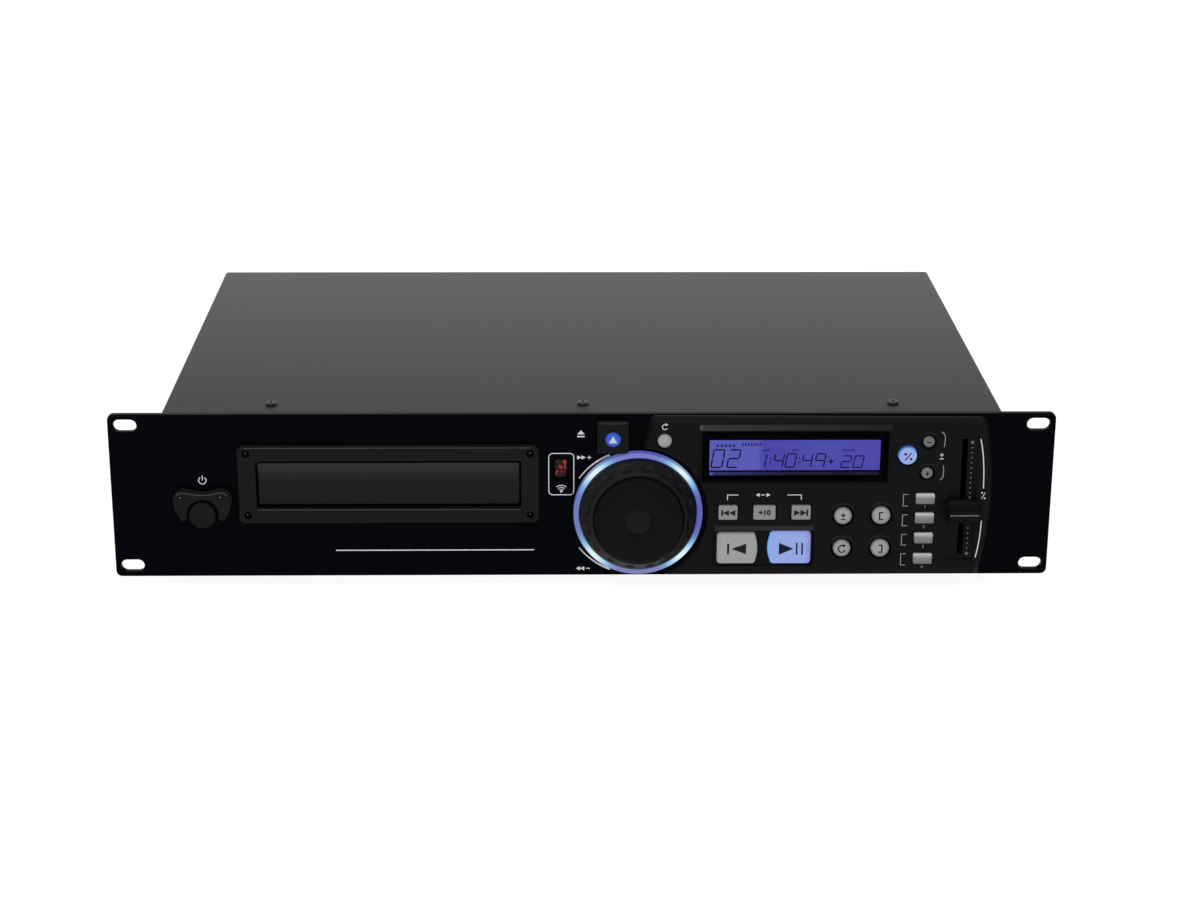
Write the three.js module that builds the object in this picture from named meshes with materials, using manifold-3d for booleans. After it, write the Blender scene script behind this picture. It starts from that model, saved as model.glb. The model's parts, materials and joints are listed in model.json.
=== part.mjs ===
// Rack-mount single disc player with a sliding tray, a jog dial, a shuttle ring and a pitch fader.
// Lengths are millimetres. X runs along the front panel to the right, Y runs into the case, Z is up.
// The pieces are drawn with X = 0 at the middle of the front panel, Y = 0 on its front face and
// Z = 0 on its lower edge. The finished group is moved so that its origin is the middle of the
// footprint, on the surface that the feet stand on.
import * as THREE from 'three';
import { mergeVertices } from 'three/addons/utils/BufferGeometryUtils.js';
import Module from 'manifold-3d';

const wasm = await Module();
wasm.setup();

// Gaps that every piece keeps
const fitGap = 0.25;
const slideGap = 0.3;
const cutOverrun = 1;

// Rack front. The pieces on it add up to nineteen inches of width and two rack units of height.
const rackEarWidth = 26.3;
const panelThickness = 3;
const panelCornerRadius = 3;
const rackSlotInsetX = 8.75;
const rackSlotInsetZ = 5.95;
const rackSlotLength = 12;
const rackSlotHeight = 6.5;
const rackSlotEndSteps = 12;

// Room between the pieces on the front, from the left side of the case to the right side
const powerInset = 20.4;
const guardBezelGap = 3.15;
const bezelSensorGap = 8.05;
const sensorRingGap = 3.6;
const fasciaRingOffset = 1.8;
const lcdInset = 30.5;
const keyBlockWidth = 54.4;
const fasciaEndMargin = 4.9;

// Room above and below the light ring and the eject button
const lightRingMargin = 1.9;
const ejectRingOverlap = 0.1;
const ejectTopMargin = 3.8;

// Case of folded sheet steel
const caseTopDrop = 0.8;
const caseFloorRise = 2;
const sheetThickness = 1.2;
const coverBendRadius = 2.2;
const sideFlangeHeight = 14;
const topFlangeDepth = 24;
const coverScrewHoleRadius = 1.6;
const coverScrewDepth = 17.7;

// Rubber feet
const footRadius = 9;
const footHeight = 8;
const footTaper = 1.2;
const footInsetX = 34;
const footInsetY = 36;

// Disc tray and the bezel that it slides through
const trayRim = 6.05;
const trayFaceHeight = 22.6;
const trayFaceThickness = 2.8;
const trayFaceChamfer = 0.6;
const trayFaceRecess = 2.2;
const trayOpeningGapX = 0.85;
const trayOpeningGapZ = 1.5;
const trayCentreZ = 51;
const bezelBorderX = 9.45;
const bezelBorderZ = 8.35;
const bezelThickness = 3.2;
const bezelCornerRadius = 3.5;
const bezelChamfer = 0.9;
const bezelScrewInsetX = 4.7;
const bezelScrewInsetZ = 4.5;
const bezelScrewRecessRadius = 2.4;
const bezelScrewRecessDepth = 1.6;

// The sliding pan, for discs of 120 mm
const discRadius = 60;
const discClearance = 0.75;
const panSideGap = 0.8;
const panLength = 190;
const panFloorThickness = 2.5;
const panRimHeight = 6;
const panDrop = 9.5;
const panSlotWidth = 42;
const panFrontWall = 4;
const panFrontMargin = 7.2;
const smallDiscRadius = 40.5;
const smallDiscStep = 0.8;
const panPocketMargin = 3;

// Loader frame round the pan
const frameWall = 2.6;
const frameSideGap = 0.7;
const frameTail = 7.65;
const frameFloorHeight = 18.5;
const frameFloorThickness = 2.4;
const ledgeWidth = 3.6;
const ledgeThickness = 2.2;
const lipThickness = 1.8;
const postSide = 7;
const deckWindowMargin = 2;

// Tray drive: motor, belt, gear and rack
const gearModule = 1.5;
const gearTeeth = 16;
const pressureAngle = THREE.MathUtils.degToRad(20);
const addendumShare = 0.7;
const dedendumShare = 1;
const gearBacklash = 0.22;
const rackInset = 9.5;
const rackHeight = 2.6;
const rackBacking = 4;
const gearFaceWidth = 3.6;
const driveGearY = 30;
const axleRadius = 2;
const bigPulleyRadius = 11;
const pulleyHeight = 4;
const pulleyGrooveDepth = 1.3;
const pulleyGrooveHeight = 1.9;
const smallPulleyRadius = 4.4;
const beltThickness = 1.1;
const beltHeight = 1.3;
const motorOffsetX = 57;
const motorRadius = 10.5;
const motorHeight = 14;
const motorShaftRadius = 1;

// Traverse deck with turntable, sled and clamp
const deckHalfWidth = 40;
const deckThickness = 2;
const deckDrop = 11.5;
const deckFrontReach = 17;
const deckRearReach = 86;
const deckPivotInset = 6;
const deckPinRadius = 2;
const deckPinLength = 5.5;
const turntableRadius = 14;
const turntableThickness = 2.6;
const coneRadius = 7.4;
const coneHeight = 2.6;
const coneTopShare = 0.82;
const spindleShaftRadius = 1.4;
const spindleHubRadius = 4;
const spindleMotorRadius = 12;
const spindleMotorHeight = 9;
const discThickness = 1.2;
const clampRadius = 14.5;
const clampPlateThickness = 3.2;
const clampNeckRadius = 8.6;
const clampFlangeRadius = 12.5;
const clampFlangeThickness = 1.8;
const bridgeDepth = 42;
const bridgeThickness = 2;
const sledHalfWidth = 22;
const sledHalfLength = 8;
const sledThickness = 4.2;
const sledInnerRadius = 24;
const sledTravel = 34;
const sledRodX = 19;
const sledRodRadius = 1.4;
const sledRodRise = 3.6;
const lensHousingRadius = 5;
const lensRadius = 2.2;
const lensRise = 6.6;
const sledGearModule = 1;
const sledGearTeeth = 12;
const sledGearOffset = 12;
const sledRackHeight = 2.6;
const sledRackWidth = 3;
const sledAxleRadius = 1.3;

// Power button, its guard and the switch behind it
const powerZ = 35.6;
const powerRadius = 6.7;
const powerFace = 7;
const powerChamfer = 0.8;
const powerFlange = 1.3;
const powerStemRadius = 2.2;
const switchHalfWidth = 7;
const switchFront = 10;
const switchDepth = 17;
const switchEarWidth = 4;
const switchEarThickness = 1.5;
const guardHalfWidth = 15;
const guardRise = 13.1;
const guardDip = 11.2;
const guardDrop = 3.3;
const guardFace = 6;
const guardChamfer = 0.9;
const guardArchGap = 1.1;
const guardLobeShare = 0.62;
const guardTipShare = 0.7;
const guardFlankShares = [0.93, 0.3];
const guardShoulderShares = [0.28, 0.2];
const guardTipRadius = 0.75;

// Eject button with its lit lens
const ejectOffset = 13.1;
const ejectWidth = 16.2;
const ejectHeight = 16.1;
const ejectFace = 6;
const ejectChamfer = 1.2;
const ejectFlange = 1.5;
const lensDiscRadius = 3.95;
const lensDiscDepth = 2.4;
const lensDiscProud = 0.3;
const lensDiscDrop = 0.15;

// Remote-sensor window
const sensorZ = 58.9;
const sensorWidth = 5.6;
const sensorHeight = 9;
const sensorFlange = 1.2;

// Jog dial, shuttle ring and light ring
const lightRingWidth = 2.8;
const shuttleRingGap = 0.5;
const lightRingRise = 4.2;
const lightRingEdge = 0.35;
const shuttleDialGap = 0.5;
const shuttleLipWidth = 1.2;
const shuttleSlopeWidth = 5.7;
const shuttleRimRise = 5.6;
const shuttleCrownRise = 12.4;
const shuttleWebRise = 3.6;
const dimpleCount = 16;
const firstDimpleAngle = THREE.MathUtils.degToRad(13.8);
const dimpleRadius = 4.3;
const dimpleDepth = 1.1;
const dialRadius = 22.5;
const dialRise = 15.2;
const dialChamfer = 1.2;
const dialCapRadius = 6.85;
const dialCapDepth = 0.4;
const dialBackRise = 6.4;
const dialShaftRadius = 3;
const hubTubeRadius = 10;
const hubTubeRise = 5.9;
const hubFlangeRadius = 17;
const hubFlangeThickness = 2;
const encoderHalfWidth = 9;
const runningGap = 0.2;

// Control fascia
const fasciaTopInset = 0.5;
const fasciaBottomInset = 1.2;
const fasciaBulge = 5;
const fasciaRise = 5;
const fasciaChamfer = 3.2;
const fasciaCornerRadius = 4;
const fasciaRingGap = 2.3;
const fasciaLeanTop = 3.4;

// Display
const lcdWidth = 95.2;
const lcdHeight = 27.5;
const lcdBevel = 1.6;
const lcdTopBevel = 3.4;
const lcdWindowDepth = 1.8;
const lcdWindowThickness = 1.4;
const lcdModuleMargin = 0.3;
const screenMarginX = 3.9;
const screenMarginTop = 5.5;
const screenMarginBottom = 2.7;

// Keys on the fascia
const keyClearance = 0.3;
const keyTravel = 0.8;
const keyProud = 1.4;
const bigKeyProud = 2.2;
const keyChamfer = 0.6;
const keyFlange = 0.7;
const keyFlangeThickness = 1;
const keyStemSide = 2.4;
const keySwitchSide = 5;
const keySwitchHeight = 3.5;
const searchKeyWidth = 9.8;
const skipKeyWidth = 11.4;
const searchKeyHeight = 7.7;
const cueWidth = 20.9;
const cueHeight = 17.7;
const playWidth = 21.9;
const playHeight = 18.1;
const bigKeyBulge = 1;
const bigKeyRadius = 1.8;
const bigKeyRecess = 0.7;
const bigKeyRecessMargin = 1.7;
const roundKeyRadius = 5.05;
const loopKeyRadius = 5.3;
const jogModeRadius = 4.15;
const pitchLockRadius = 5.1;
const bendKeyRadius = 3.5;
const smallKeyWidth = 10;
const smallKeyHeight = 6;

// Pitch fader
const faderInset = 15.2;
const faderRestZ = 37.1;
const faderSlotWidth = 3.2;
const faderSlotInsetTop = 12;
const faderSlotInsetBottom = 11.1;
const faderRecessWidth = 14;
const faderRecessOffset = 0.5;
const faderRecessMargin = 2.3;
const faderRecessDepth = 1;
const faderKnobWidth = 15.9;
const faderKnobHeight = 13;
const faderKnobRise = 13;
const faderKnobGap = 0.5;
const faderKnobTaper = 1.4;
const faderLeverWidth = 2.2;
const faderLeverHeight = 4.4;
const faderBodyWidth = 9.6;
const faderBodyFront = 4.9;
const faderBodyMargin = 3;

// Boards
const controlBoardY = 13;
const boardThickness = 1.6;
const boardMargin = 3;
const standoffRadius = 2.5;
const mainBoardStandoff = 7;
const chipHeight = 2.2;
const transformerWidth = 44;
const transformerDepth = 38;
const transformerHeight = 36;
const supplyWidth = 145;
const supplyDepth = 56;
const supplyRearGap = 8;
const supplyFrameGap = 11.1;
const transformerCoreShare = 0.8;
const windingShares = [0.25, 0.75];
const capacitorRadius = 8;
const capacitorHeight = 26;
const capacitorPlaceShares = [1.5, 3.9];

// Rear connectors
const inletInset = 50;
const inletZ = 40;
const inletFlangeWidth = 31;
const inletFlangeHeight = 25;
const inletFlangeThickness = 2;
const inletBodyWidth = 26.6;
const inletBodyHeight = 19.4;
const inletBodyDepth = 20;
const inletSocketWidth = 24;
const inletSocketHeight = 16.4;
const inletSocketDepth = 16;
const inletPinWidth = 2;
const inletPinHeight = 4;
const inletPinSpacing = 7;
const jackInset = 87;
const jackZ = 44;
const jackPlateWidth = 62;
const jackPlateHeight = 18;
const jackPlateThickness = 1.2;
const jackSpacing = 18;
const jackCount = 3;
const jackRadius = 4.15;
const jackBore = 2.3;
const jackLength = 8.5;
const jackBodyDepth = 12;

// Facets in a full turn
const fineFacets = 40;
const facets = 24;
const smallFacets = 16;
const tinyFacets = 8;
const dimpleFacets = 6;

// Sizes that follow from the pieces that they hold
const trayFaceWidth = 2 * (discRadius + discClearance + trayRim);
const openingWidth = trayFaceWidth + 2 * trayOpeningGapX;
const openingHeight = trayFaceHeight + 2 * trayOpeningGapZ;
const bezelWidth = openingWidth + 2 * bezelBorderX;
const bezelHeight = openingHeight + 2 * bezelBorderZ;
const shuttleBoreRadius = dialRadius + shuttleDialGap;
const shuttleCrownRadius = shuttleBoreRadius + shuttleLipWidth;
const shuttleRadius = shuttleCrownRadius + shuttleSlopeWidth;
const lightRingRadius = shuttleRadius + shuttleRingGap + lightRingWidth;
const fasciaWidth = lcdInset + lcdWidth + keyBlockWidth;
const guardRoom = powerInset + guardHalfWidth + guardBezelGap;
const sensorRoom = bezelSensorGap + sensorWidth + sensorRingGap;
const fasciaRoom = fasciaRingOffset + fasciaWidth + fasciaEndMargin;
const caseWidth = guardRoom + bezelWidth + sensorRoom + lightRingRadius + fasciaRoom;
const panelWidth = caseWidth + 2 * rackEarWidth;

// Places along the front and up it
const powerX = -caseWidth / 2 + powerInset;
const trayCentreX = -caseWidth / 2 + guardRoom + bezelWidth / 2;
const sensorX = trayCentreX + bezelWidth / 2 + bezelSensorGap + sensorWidth / 2;
const jogX = sensorX + sensorWidth / 2 + sensorRingGap + lightRingRadius;
const jogZ = lightRingMargin + lightRingRadius;
const ejectX = jogX - ejectOffset;
const ejectZ = jogZ + lightRingRadius - ejectRingOverlap + ejectHeight / 2;
const panelHeight = ejectZ + ejectHeight / 2 + ejectTopMargin;
const rackSlotSpanX = panelWidth - 2 * rackSlotInsetX;
const rackSlotSpanZ = panelHeight - 2 * rackSlotInsetZ;
const fasciaLeft = jogX + fasciaRingOffset;
const fasciaRight = fasciaLeft + fasciaWidth;
const fasciaTop = panelHeight - fasciaTopInset;
const fasciaHeight = fasciaTop - fasciaBottomInset;
const faderX = fasciaRight - faderInset;
const faderSlotTop = fasciaTop - faderSlotInsetTop;
const faderSlotBottom = fasciaBottomInset + faderSlotInsetBottom;

// Depths, from the panel to the rear of the case
const panelBack = panelThickness;
const wallFront = panelBack + fitGap;
const wallBack = wallFront + sheetThickness;
const trayFaceFront = trayFaceRecess - bezelThickness;
const panFront = trayFaceFront + trayFaceThickness + fitGap;
const spindleY = panFront + panFrontMargin + discRadius + discClearance;
const frameFront = wallBack + fitGap;
const frameBack = panFront + panLength + frameTail;
const caseDepth = frameBack + supplyFrameGap + supplyDepth + supplyRearGap + sheetThickness;
const inletX = -caseWidth / 2 + inletInset;
const jackX = caseWidth / 2 - jackInset;

// Heights and depths that several pieces share
const caseTop = panelHeight - caseTopDrop;
const floorTop = caseFloorRise + sheetThickness;
const coverInnerTop = caseTop - sheetThickness;
const wallTop = coverInnerTop - fitGap;
const baseHalfWidth = caseWidth / 2 - sheetThickness - fitGap;
const fasciaFront = -fasciaRise;
const fasciaBack = -fitGap;
const panHalfWidth = trayFaceWidth / 2 - panSideGap;
const panBottom = trayCentreZ - panDrop;
const panFloorTop = panBottom + panFloorThickness;
const panTop = panFloorTop + panRimHeight;
const frameInner = panHalfWidth + frameSideGap;
const frameOuter = frameInner + frameWall;
const frameFloorBottom = floorTop + frameFloorHeight;
const frameFloorTop = frameFloorBottom + frameFloorThickness;
const ledgeTop = panBottom - slideGap;
const lipBottom = panTop + slideGap;
const frameTop = lipBottom + lipThickness;
const gearPitchRadius = (gearModule * gearTeeth) / 2;
const rackPitchX = trayCentreX - panHalfWidth + rackInset;
const driveGearX = rackPitchX + gearPitchRadius;
const gearTop = panBottom - slideGap;
const gearBottom = gearTop - gearFaceWidth;
const pulleyBottom = frameFloorTop + slideGap;
const pulleyTop = pulleyBottom + pulleyHeight;
const motorX = driveGearX + motorOffsetX;
const deckBottom = panBottom - deckDrop;
const deckTop = deckBottom + deckThickness;
const discBottom = panFloorTop + 2 * discThickness;
const turntableTop = discBottom - slideGap;
const bridgeBottom = frameTop + fitGap;
const bridgeTop = bridgeBottom + bridgeThickness;
const deckFront = spindleY - deckFrontReach;
const deckRear = spindleY + deckRearReach;
const deckPivotY = deckRear - deckPivotInset;
const sledY = spindleY + sledInnerRadius;
const sledGearY = sledY + sledGearOffset;
const sledRodZ = deckTop + sledRodRise;
const sledGearPitchRadius = (sledGearModule * sledGearTeeth) / 2;
const sledRackPitchX = trayCentreX + sledHalfWidth + sledRackWidth;
const sledGearX = sledRackPitchX + sledGearPitchRadius;
const keyStemEnd = controlBoardY - keySwitchHeight - keyTravel - slideGap;
const hubBoardGap = 0.3;

// Places on the fascia, as shares of its width from the left and of its height from the bottom
const lcdUpShare = 0.7588;
const jogModeShares = [0.0633, 0.8565];
const pitchLockShares = [0.7529, 0.7604];
const bendMinusShares = [0.8107, 0.8484];
const bendPlusShares = [0.8096, 0.6528];
const searchKeyShares = [[0.246, 0.408], [0.35, 0.408], [0.4547, 0.408]];
const roundKeyShares = [[0.5752, 0.383], [0.684, 0.3855], [0.5747, 0.1771], [0.6846, 0.1771]];
const smallKeyColumnShare = 0.8079;
const smallKeyRowShares = [0.4954, 0.3727, 0.2454, 0.1134];
const cuePlaceShares = [0.274, 0.1889];
const bigKeyGap = 5.6;

// Inside outlines of the case windows, as shares of the fascia
const keyWindowShares = [0.155, 0.97];
const displayWindowMargin = 1;

// Cover screws as shares of the case's width, and chips as place and size shares of the main board
const coverScrewPlaceShares = [-0.372, 0, 0.372];
const coverScrewPlaces = coverScrewPlaceShares.map((share) => share * caseWidth);
const chipShares = [
  [0.3, 0.35, 0.14, 0.14],
  [0.62, 0.3, 0.1, 0.1],
  [0.7, 0.65, 0.07, 0.16],
  [0.25, 0.75, 0.09, 0.09],
];

const millimetreTolerance = 1e-4;
const finestStep = 1e-5;

// Outlines in two dimensions, counter-clockwise, as lists of points

// A coordinate rounded finely, so that an arc ends exactly on the straight edge beside it
function rounded(value) {
  return Math.round(value / finestStep) * finestStep;
}

function arc(centreX, centreZ, radius, fromDegrees, toDegrees, steps) {
  const points = [];
  for (let step = 0; step <= steps; step += 1) {
    const angle = THREE.MathUtils.degToRad(fromDegrees + ((toDegrees - fromDegrees) * step) / steps);
    const x = rounded(centreX + radius * Math.cos(angle));
    const z = rounded(centreZ + radius * Math.sin(angle));
    points.push(new THREE.Vector2(x, z));
  }
  return points;
}

function circle(radius, steps) {
  return arc(0, 0, radius, 0, 360 - 360 / steps, steps - 1);
}

function rectangle(width, height, radius, cornerSteps = 1) {
  const x = width / 2 - radius;
  const z = height / 2 - radius;
  return [
    ...arc(x, z, radius, 0, 90, cornerSteps),
    ...arc(-x, z, radius, 90, 180, cornerSteps),
    ...arc(-x, -z, radius, 180, 270, cornerSteps),
    ...arc(x, -z, radius, 270, 360, cornerSteps),
  ];
}

// Rectangle with sharp corners
function corners(width, height) {
  return [
    new THREE.Vector2(width / 2, height / 2),
    new THREE.Vector2(-width / 2, height / 2),
    new THREE.Vector2(-width / 2, -height / 2),
    new THREE.Vector2(width / 2, -height / 2),
  ];
}

function stadium(length, height, steps) {
  const x = (length - height) / 2;
  return [...arc(x, 0, height / 2, -90, 90, steps), ...arc(-x, 0, height / 2, 90, 270, steps)];
}

// Rectangle with one side swollen outwards; bulge is measured at the middle of that side
function swollen(width, height, radius, bulge, side) {
  const z = height / 2 - radius;
  const x = width / 2 - radius - bulge;
  const steps = 4;
  const flank = [];
  for (let step = 1; step < steps; step += 1) {
    const rise = -1 + (2 * step) / steps;
    flank.push(new THREE.Vector2(x + radius + bulge * (1 - rise * rise), rise * z));
  }
  const points = [
    ...arc(x, -z, radius, 270, 360, 2),
    ...flank,
    ...arc(x, z, radius, 0, 90, 2),
    ...arc(-width / 2 + radius, z, radius, 90, 180, 2),
    ...arc(-width / 2 + radius, -z, radius, 180, 270, 2),
  ];
  if (side > 0) return points;
  return points.map((point) => new THREE.Vector2(-point.x, point.y)).reverse();
}

function moved(outline, x, z) {
  return outline.map((point) => new THREE.Vector2(point.x + x, point.y + z));
}

// Solids

// A closed three.js geometry as a manifold, with its shared vertices merged
function solid(geometry) {
  const bare = geometry.index ? geometry.toNonIndexed() : geometry.clone();
  bare.deleteAttribute('normal');
  bare.deleteAttribute('uv');
  const merged = mergeVertices(bare, millimetreTolerance);
  const triangles = [];
  const index = merged.index.array;
  for (let i = 0; i < index.length; i += 3) {
    const corners = [index[i], index[i + 1], index[i + 2]];
    if (new Set(corners).size === 3) triangles.push(...corners);
  }
  const position = merged.attributes.position;
  const [a, b, c] = [new THREE.Vector3(), new THREE.Vector3(), new THREE.Vector3()];
  let volume = 0;
  for (let i = 0; i < triangles.length; i += 3) {
    a.fromBufferAttribute(position, triangles[i]);
    b.fromBufferAttribute(position, triangles[i + 1]);
    c.fromBufferAttribute(position, triangles[i + 2]);
    volume += a.dot(b.cross(c));
  }
  if (volume < 0) triangles.reverse();
  return new wasm.Manifold(
    new wasm.Mesh({
      numProp: 3,
      vertProperties: position.array,
      triVerts: new Uint32Array(triangles),
    }),
  );
}

function geometryOf(manifold) {
  const { vertProperties, triVerts, numProp } = manifold.getMesh();
  const positions = new Float32Array(triVerts.length * 3);
  triVerts.forEach((vertex, i) => {
    for (let axis = 0; axis < 3; axis += 1) {
      positions[i * 3 + axis] = vertProperties[vertex * numProp + axis];
    }
  });
  const geometry = new THREE.BufferGeometry();
  geometry.setAttribute('position', new THREE.BufferAttribute(positions, 3));
  geometry.computeVertexNormals();
  return geometry;
}

function join(...parts) {
  return parts.flat().reduce((whole, part) => whole.add(part));
}

function cut(base, ...tools) {
  return tools.flat().reduce((rest, tool) => rest.subtract(tool), base);
}

function block(x0, x1, y0, y1, z0, z1) {
  const outline = [
    new THREE.Vector2(x1, z1),
    new THREE.Vector2(x0, z1),
    new THREE.Vector2(x0, z0),
    new THREE.Vector2(x1, z0),
  ];
  return plate(outline, y0, y1);
}

// Layers of one outline each, all with the same number of points, joined from front to back.
// An outline's two coordinates are X and Z; a layer is at a depth Y.
function layered(layers) {
  const positions = [];
  const triangles = [];
  for (const { outline, y } of layers) {
    for (const point of outline) positions.push(point.x, y, point.y);
  }
  const count = layers[0].outline.length;
  for (let layer = 0; layer < layers.length - 1; layer += 1) {
    for (let i = 0; i < count; i += 1) {
      const near = layer * count + i;
      const nearNext = layer * count + ((i + 1) % count);
      triangles.push(near, near + count, nearNext, nearNext, near + count, nearNext + count);
    }
  }
  const last = (layers.length - 1) * count;
  for (const [p, q, r] of THREE.ShapeUtils.triangulateShape(layers[0].outline, [])) {
    triangles.push(p, q, r);
  }
  for (const [p, q, r] of THREE.ShapeUtils.triangulateShape(layers[layers.length - 1].outline, [])) {
    triangles.push(last + r, last + q, last + p);
  }
  const geometry = new THREE.BufferGeometry();
  geometry.setAttribute('position', new THREE.Float32BufferAttribute(positions, 3));
  geometry.setIndex(triangles);
  return geometry;
}

// The same outline from one depth to another
function plate(outline, front, back) {
  return solid(layered([{ outline, y: front }, { outline, y: back }]));
}

// Layers stacked upwards; an outline's two coordinates are X and Y
function stacked(layers) {
  const flipped = layers.map(({ outline, z }) => ({ outline, y: -z }));
  const geometry = layered(flipped.reverse());
  geometry.applyMatrix4(new THREE.Matrix4().makeRotationX(-Math.PI / 2));
  return geometry;
}

function slab(outline, bottom, top) {
  return solid(stacked([{ outline, z: bottom }, { outline, z: top }]));
}

// A piece turned about a line along Y; profile pairs are radius and depth
function turned(profile, steps) {
  return new THREE.LatheGeometry(profile.map(([radius, y]) => new THREE.Vector2(radius, y)), steps);
}

// A piece turned about an upright line; profile pairs are radius and height
function spun(profile, steps) {
  const geometry = turned(profile, steps);
  geometry.applyMatrix4(new THREE.Matrix4().makeRotationX(Math.PI / 2));
  return geometry;
}

function at(geometry, x, y, z) {
  return solid(geometry.clone().translate(x, y, z));
}

function rod(radius, front, back, x, z, steps = smallFacets) {
  return at(turned([[0, front], [radius, front], [radius, back], [0, back]], steps), x, 0, z);
}

function post(radius, bottom, top, x, y, steps = smallFacets) {
  return at(spun([[0, bottom], [radius, bottom], [radius, top], [0, top]], steps), x, y, 0);
}

function bar(radius, left, right, y, z, steps = smallFacets) {
  const geometry = turned([[0, left], [radius, left], [radius, right], [0, right]], steps);
  geometry.applyMatrix4(new THREE.Matrix4().makeRotationZ(-Math.PI / 2));
  return at(geometry, 0, y, z);
}

// Gears

function involute(angle) {
  return Math.tan(angle) - angle;
}

// Outline of a spur gear with one tooth centred on angle zero
function gearOutline(module, teeth) {
  const pitchRadius = (module * teeth) / 2;
  const baseRadius = pitchRadius * Math.cos(pressureAngle);
  const rootRadius = pitchRadius - dedendumShare * module;
  const tipRadius = pitchRadius + addendumShare * module;
  const halfTooth = ((Math.PI * module) / 2 - gearBacklash) / 2 / pitchRadius + involute(pressureAngle);
  const flankRadii = [rootRadius];
  const flankSteps = 1;
  const flankStart = Math.max(baseRadius, rootRadius);
  for (let step = 0; step <= flankSteps; step += 1) {
    flankRadii.push(flankStart + ((tipRadius - flankStart) * step) / flankSteps);
  }
  const points = [];
  for (let tooth = 0; tooth < teeth; tooth += 1) {
    const middle = (2 * Math.PI * tooth) / teeth;
    const rising = flankRadii.map((radius) => {
      const roll = radius > baseRadius ? involute(Math.acos(baseRadius / radius)) : 0;
      return { radius, spread: halfTooth - roll };
    });
    const right = rising.map(({ radius, spread }) => [radius, middle - spread]);
    const left = rising.map(({ radius, spread }) => [radius, middle + spread]).reverse();
    for (const [radius, angle] of [...right, ...left]) {
      points.push(new THREE.Vector2(radius * Math.cos(angle), radius * Math.sin(angle)));
    }
  }
  return points;
}

// Outline of a rack along Y whose teeth point to +X, with a gap between teeth at gapY
function rackOutline(module, pitchX, backX, startY, endY, gapY) {
  const pitch = Math.PI * module;
  const slope = Math.tan(pressureAngle);
  const tip = addendumShare * module;
  const root = dedendumShare * module;
  const halfPitchTooth = (pitch / 2 - gearBacklash) / 2;
  const first = Math.ceil((startY - gapY) / pitch);
  const last = Math.floor((endY - gapY) / pitch) - 1;
  const points = [new THREE.Vector2(backX, endY), new THREE.Vector2(backX, startY)];
  points.push(new THREE.Vector2(pitchX - root, startY));
  for (let tooth = first; tooth <= last; tooth += 1) {
    const middle = gapY + (tooth + 1 / 2) * pitch;
    points.push(new THREE.Vector2(pitchX - root, middle - halfPitchTooth - root * slope));
    points.push(new THREE.Vector2(pitchX + tip, middle - halfPitchTooth + tip * slope));
    points.push(new THREE.Vector2(pitchX + tip, middle + halfPitchTooth - tip * slope));
    points.push(new THREE.Vector2(pitchX - root, middle + halfPitchTooth + root * slope));
  }
  points.push(new THREE.Vector2(pitchX - root, endY));
  return points;
}

// Places on the fascia

function fasciaPlace([acrossShare, upShare]) {
  return {
    x: fasciaLeft + acrossShare * fasciaWidth,
    z: fasciaBottomInset + upShare * fasciaHeight,
  };
}

const lcdPlace = { ...fasciaPlace([0, lcdUpShare]), x: fasciaLeft + lcdInset + lcdWidth / 2 };
const cuePlace = fasciaPlace(cuePlaceShares);
const playPlace = { x: cuePlace.x + cueWidth / 2 + bigKeyGap + playWidth / 2, z: cuePlace.z };
const bigKeyRecessLeft = cuePlace.x - cueWidth / 2 - bigKeyRecessMargin;
const bigKeyRecessRight = playPlace.x + playWidth / 2 + bigKeyRecessMargin;
const bigKeyRecessHeight = Math.max(cueHeight, playHeight) + 2 * bigKeyRecessMargin;

// Every key: its name, place, outline drawn at a given margin, and how far it stands out
function roundKey(name, shares, radius) {
  return {
    name,
    ...fasciaPlace(shares),
    outline: (margin) => circle(radius + margin, smallFacets),
    room: (margin) => corners(2 * (radius + margin), 2 * (radius + margin)),
    proud: keyProud,
  };
}

function squareKey(name, shares, width, height) {
  const radius = Math.min(width, height) / 8;
  return {
    name,
    ...fasciaPlace(shares),
    outline: (margin) => rectangle(width + 2 * margin, height + 2 * margin, radius + Math.max(margin, 0)),
    room: (margin) => corners(width + 2 * margin, height + 2 * margin),
    proud: keyProud,
  };
}

function bigKey(name, place, width, height, side) {
  const grown = (margin) =>
    swollen(width + 2 * margin, height + 2 * margin, bigKeyRadius + Math.max(margin, 0), bigKeyBulge, side);
  const room = (margin) => corners(width + 2 * margin, height + 2 * margin);
  return { name, ...place, outline: grown, room, proud: bigKeyProud };
}

const searchKeys = [
  ['key_search_back', searchKeyWidth],
  ['key_skip_ten', skipKeyWidth],
  ['key_search_forward', searchKeyWidth],
];
const roundKeys = [
  ['key_pitch_range', roundKeyRadius],
  ['key_loop_in', loopKeyRadius],
  ['key_reloop', roundKeyRadius],
  ['key_loop_out', loopKeyRadius],
];
const smallKeyNames = ['key_time', 'key_single', 'key_program', 'key_repeat'];

const keys = [
  ...searchKeys.map(([name, width], i) => squareKey(name, searchKeyShares[i], width, searchKeyHeight)),
  bigKey('key_cue', cuePlace, cueWidth, cueHeight, 1),
  bigKey('key_play_pause', playPlace, playWidth, playHeight, -1),
  roundKey('key_jog_mode', jogModeShares, jogModeRadius),
  roundKey('key_pitch_lock', pitchLockShares, pitchLockRadius),
  roundKey('key_bend_minus', bendMinusShares, bendKeyRadius),
  roundKey('key_bend_plus', bendPlusShares, bendKeyRadius),
  ...roundKeys.map(([name, radius], i) => roundKey(name, roundKeyShares[i], radius)),
  ...smallKeyNames.map((name, i) => {
    const shares = [smallKeyColumnShare, smallKeyRowShares[i]];
    return squareKey(name, shares, smallKeyWidth, smallKeyHeight);
  }),
];

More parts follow.
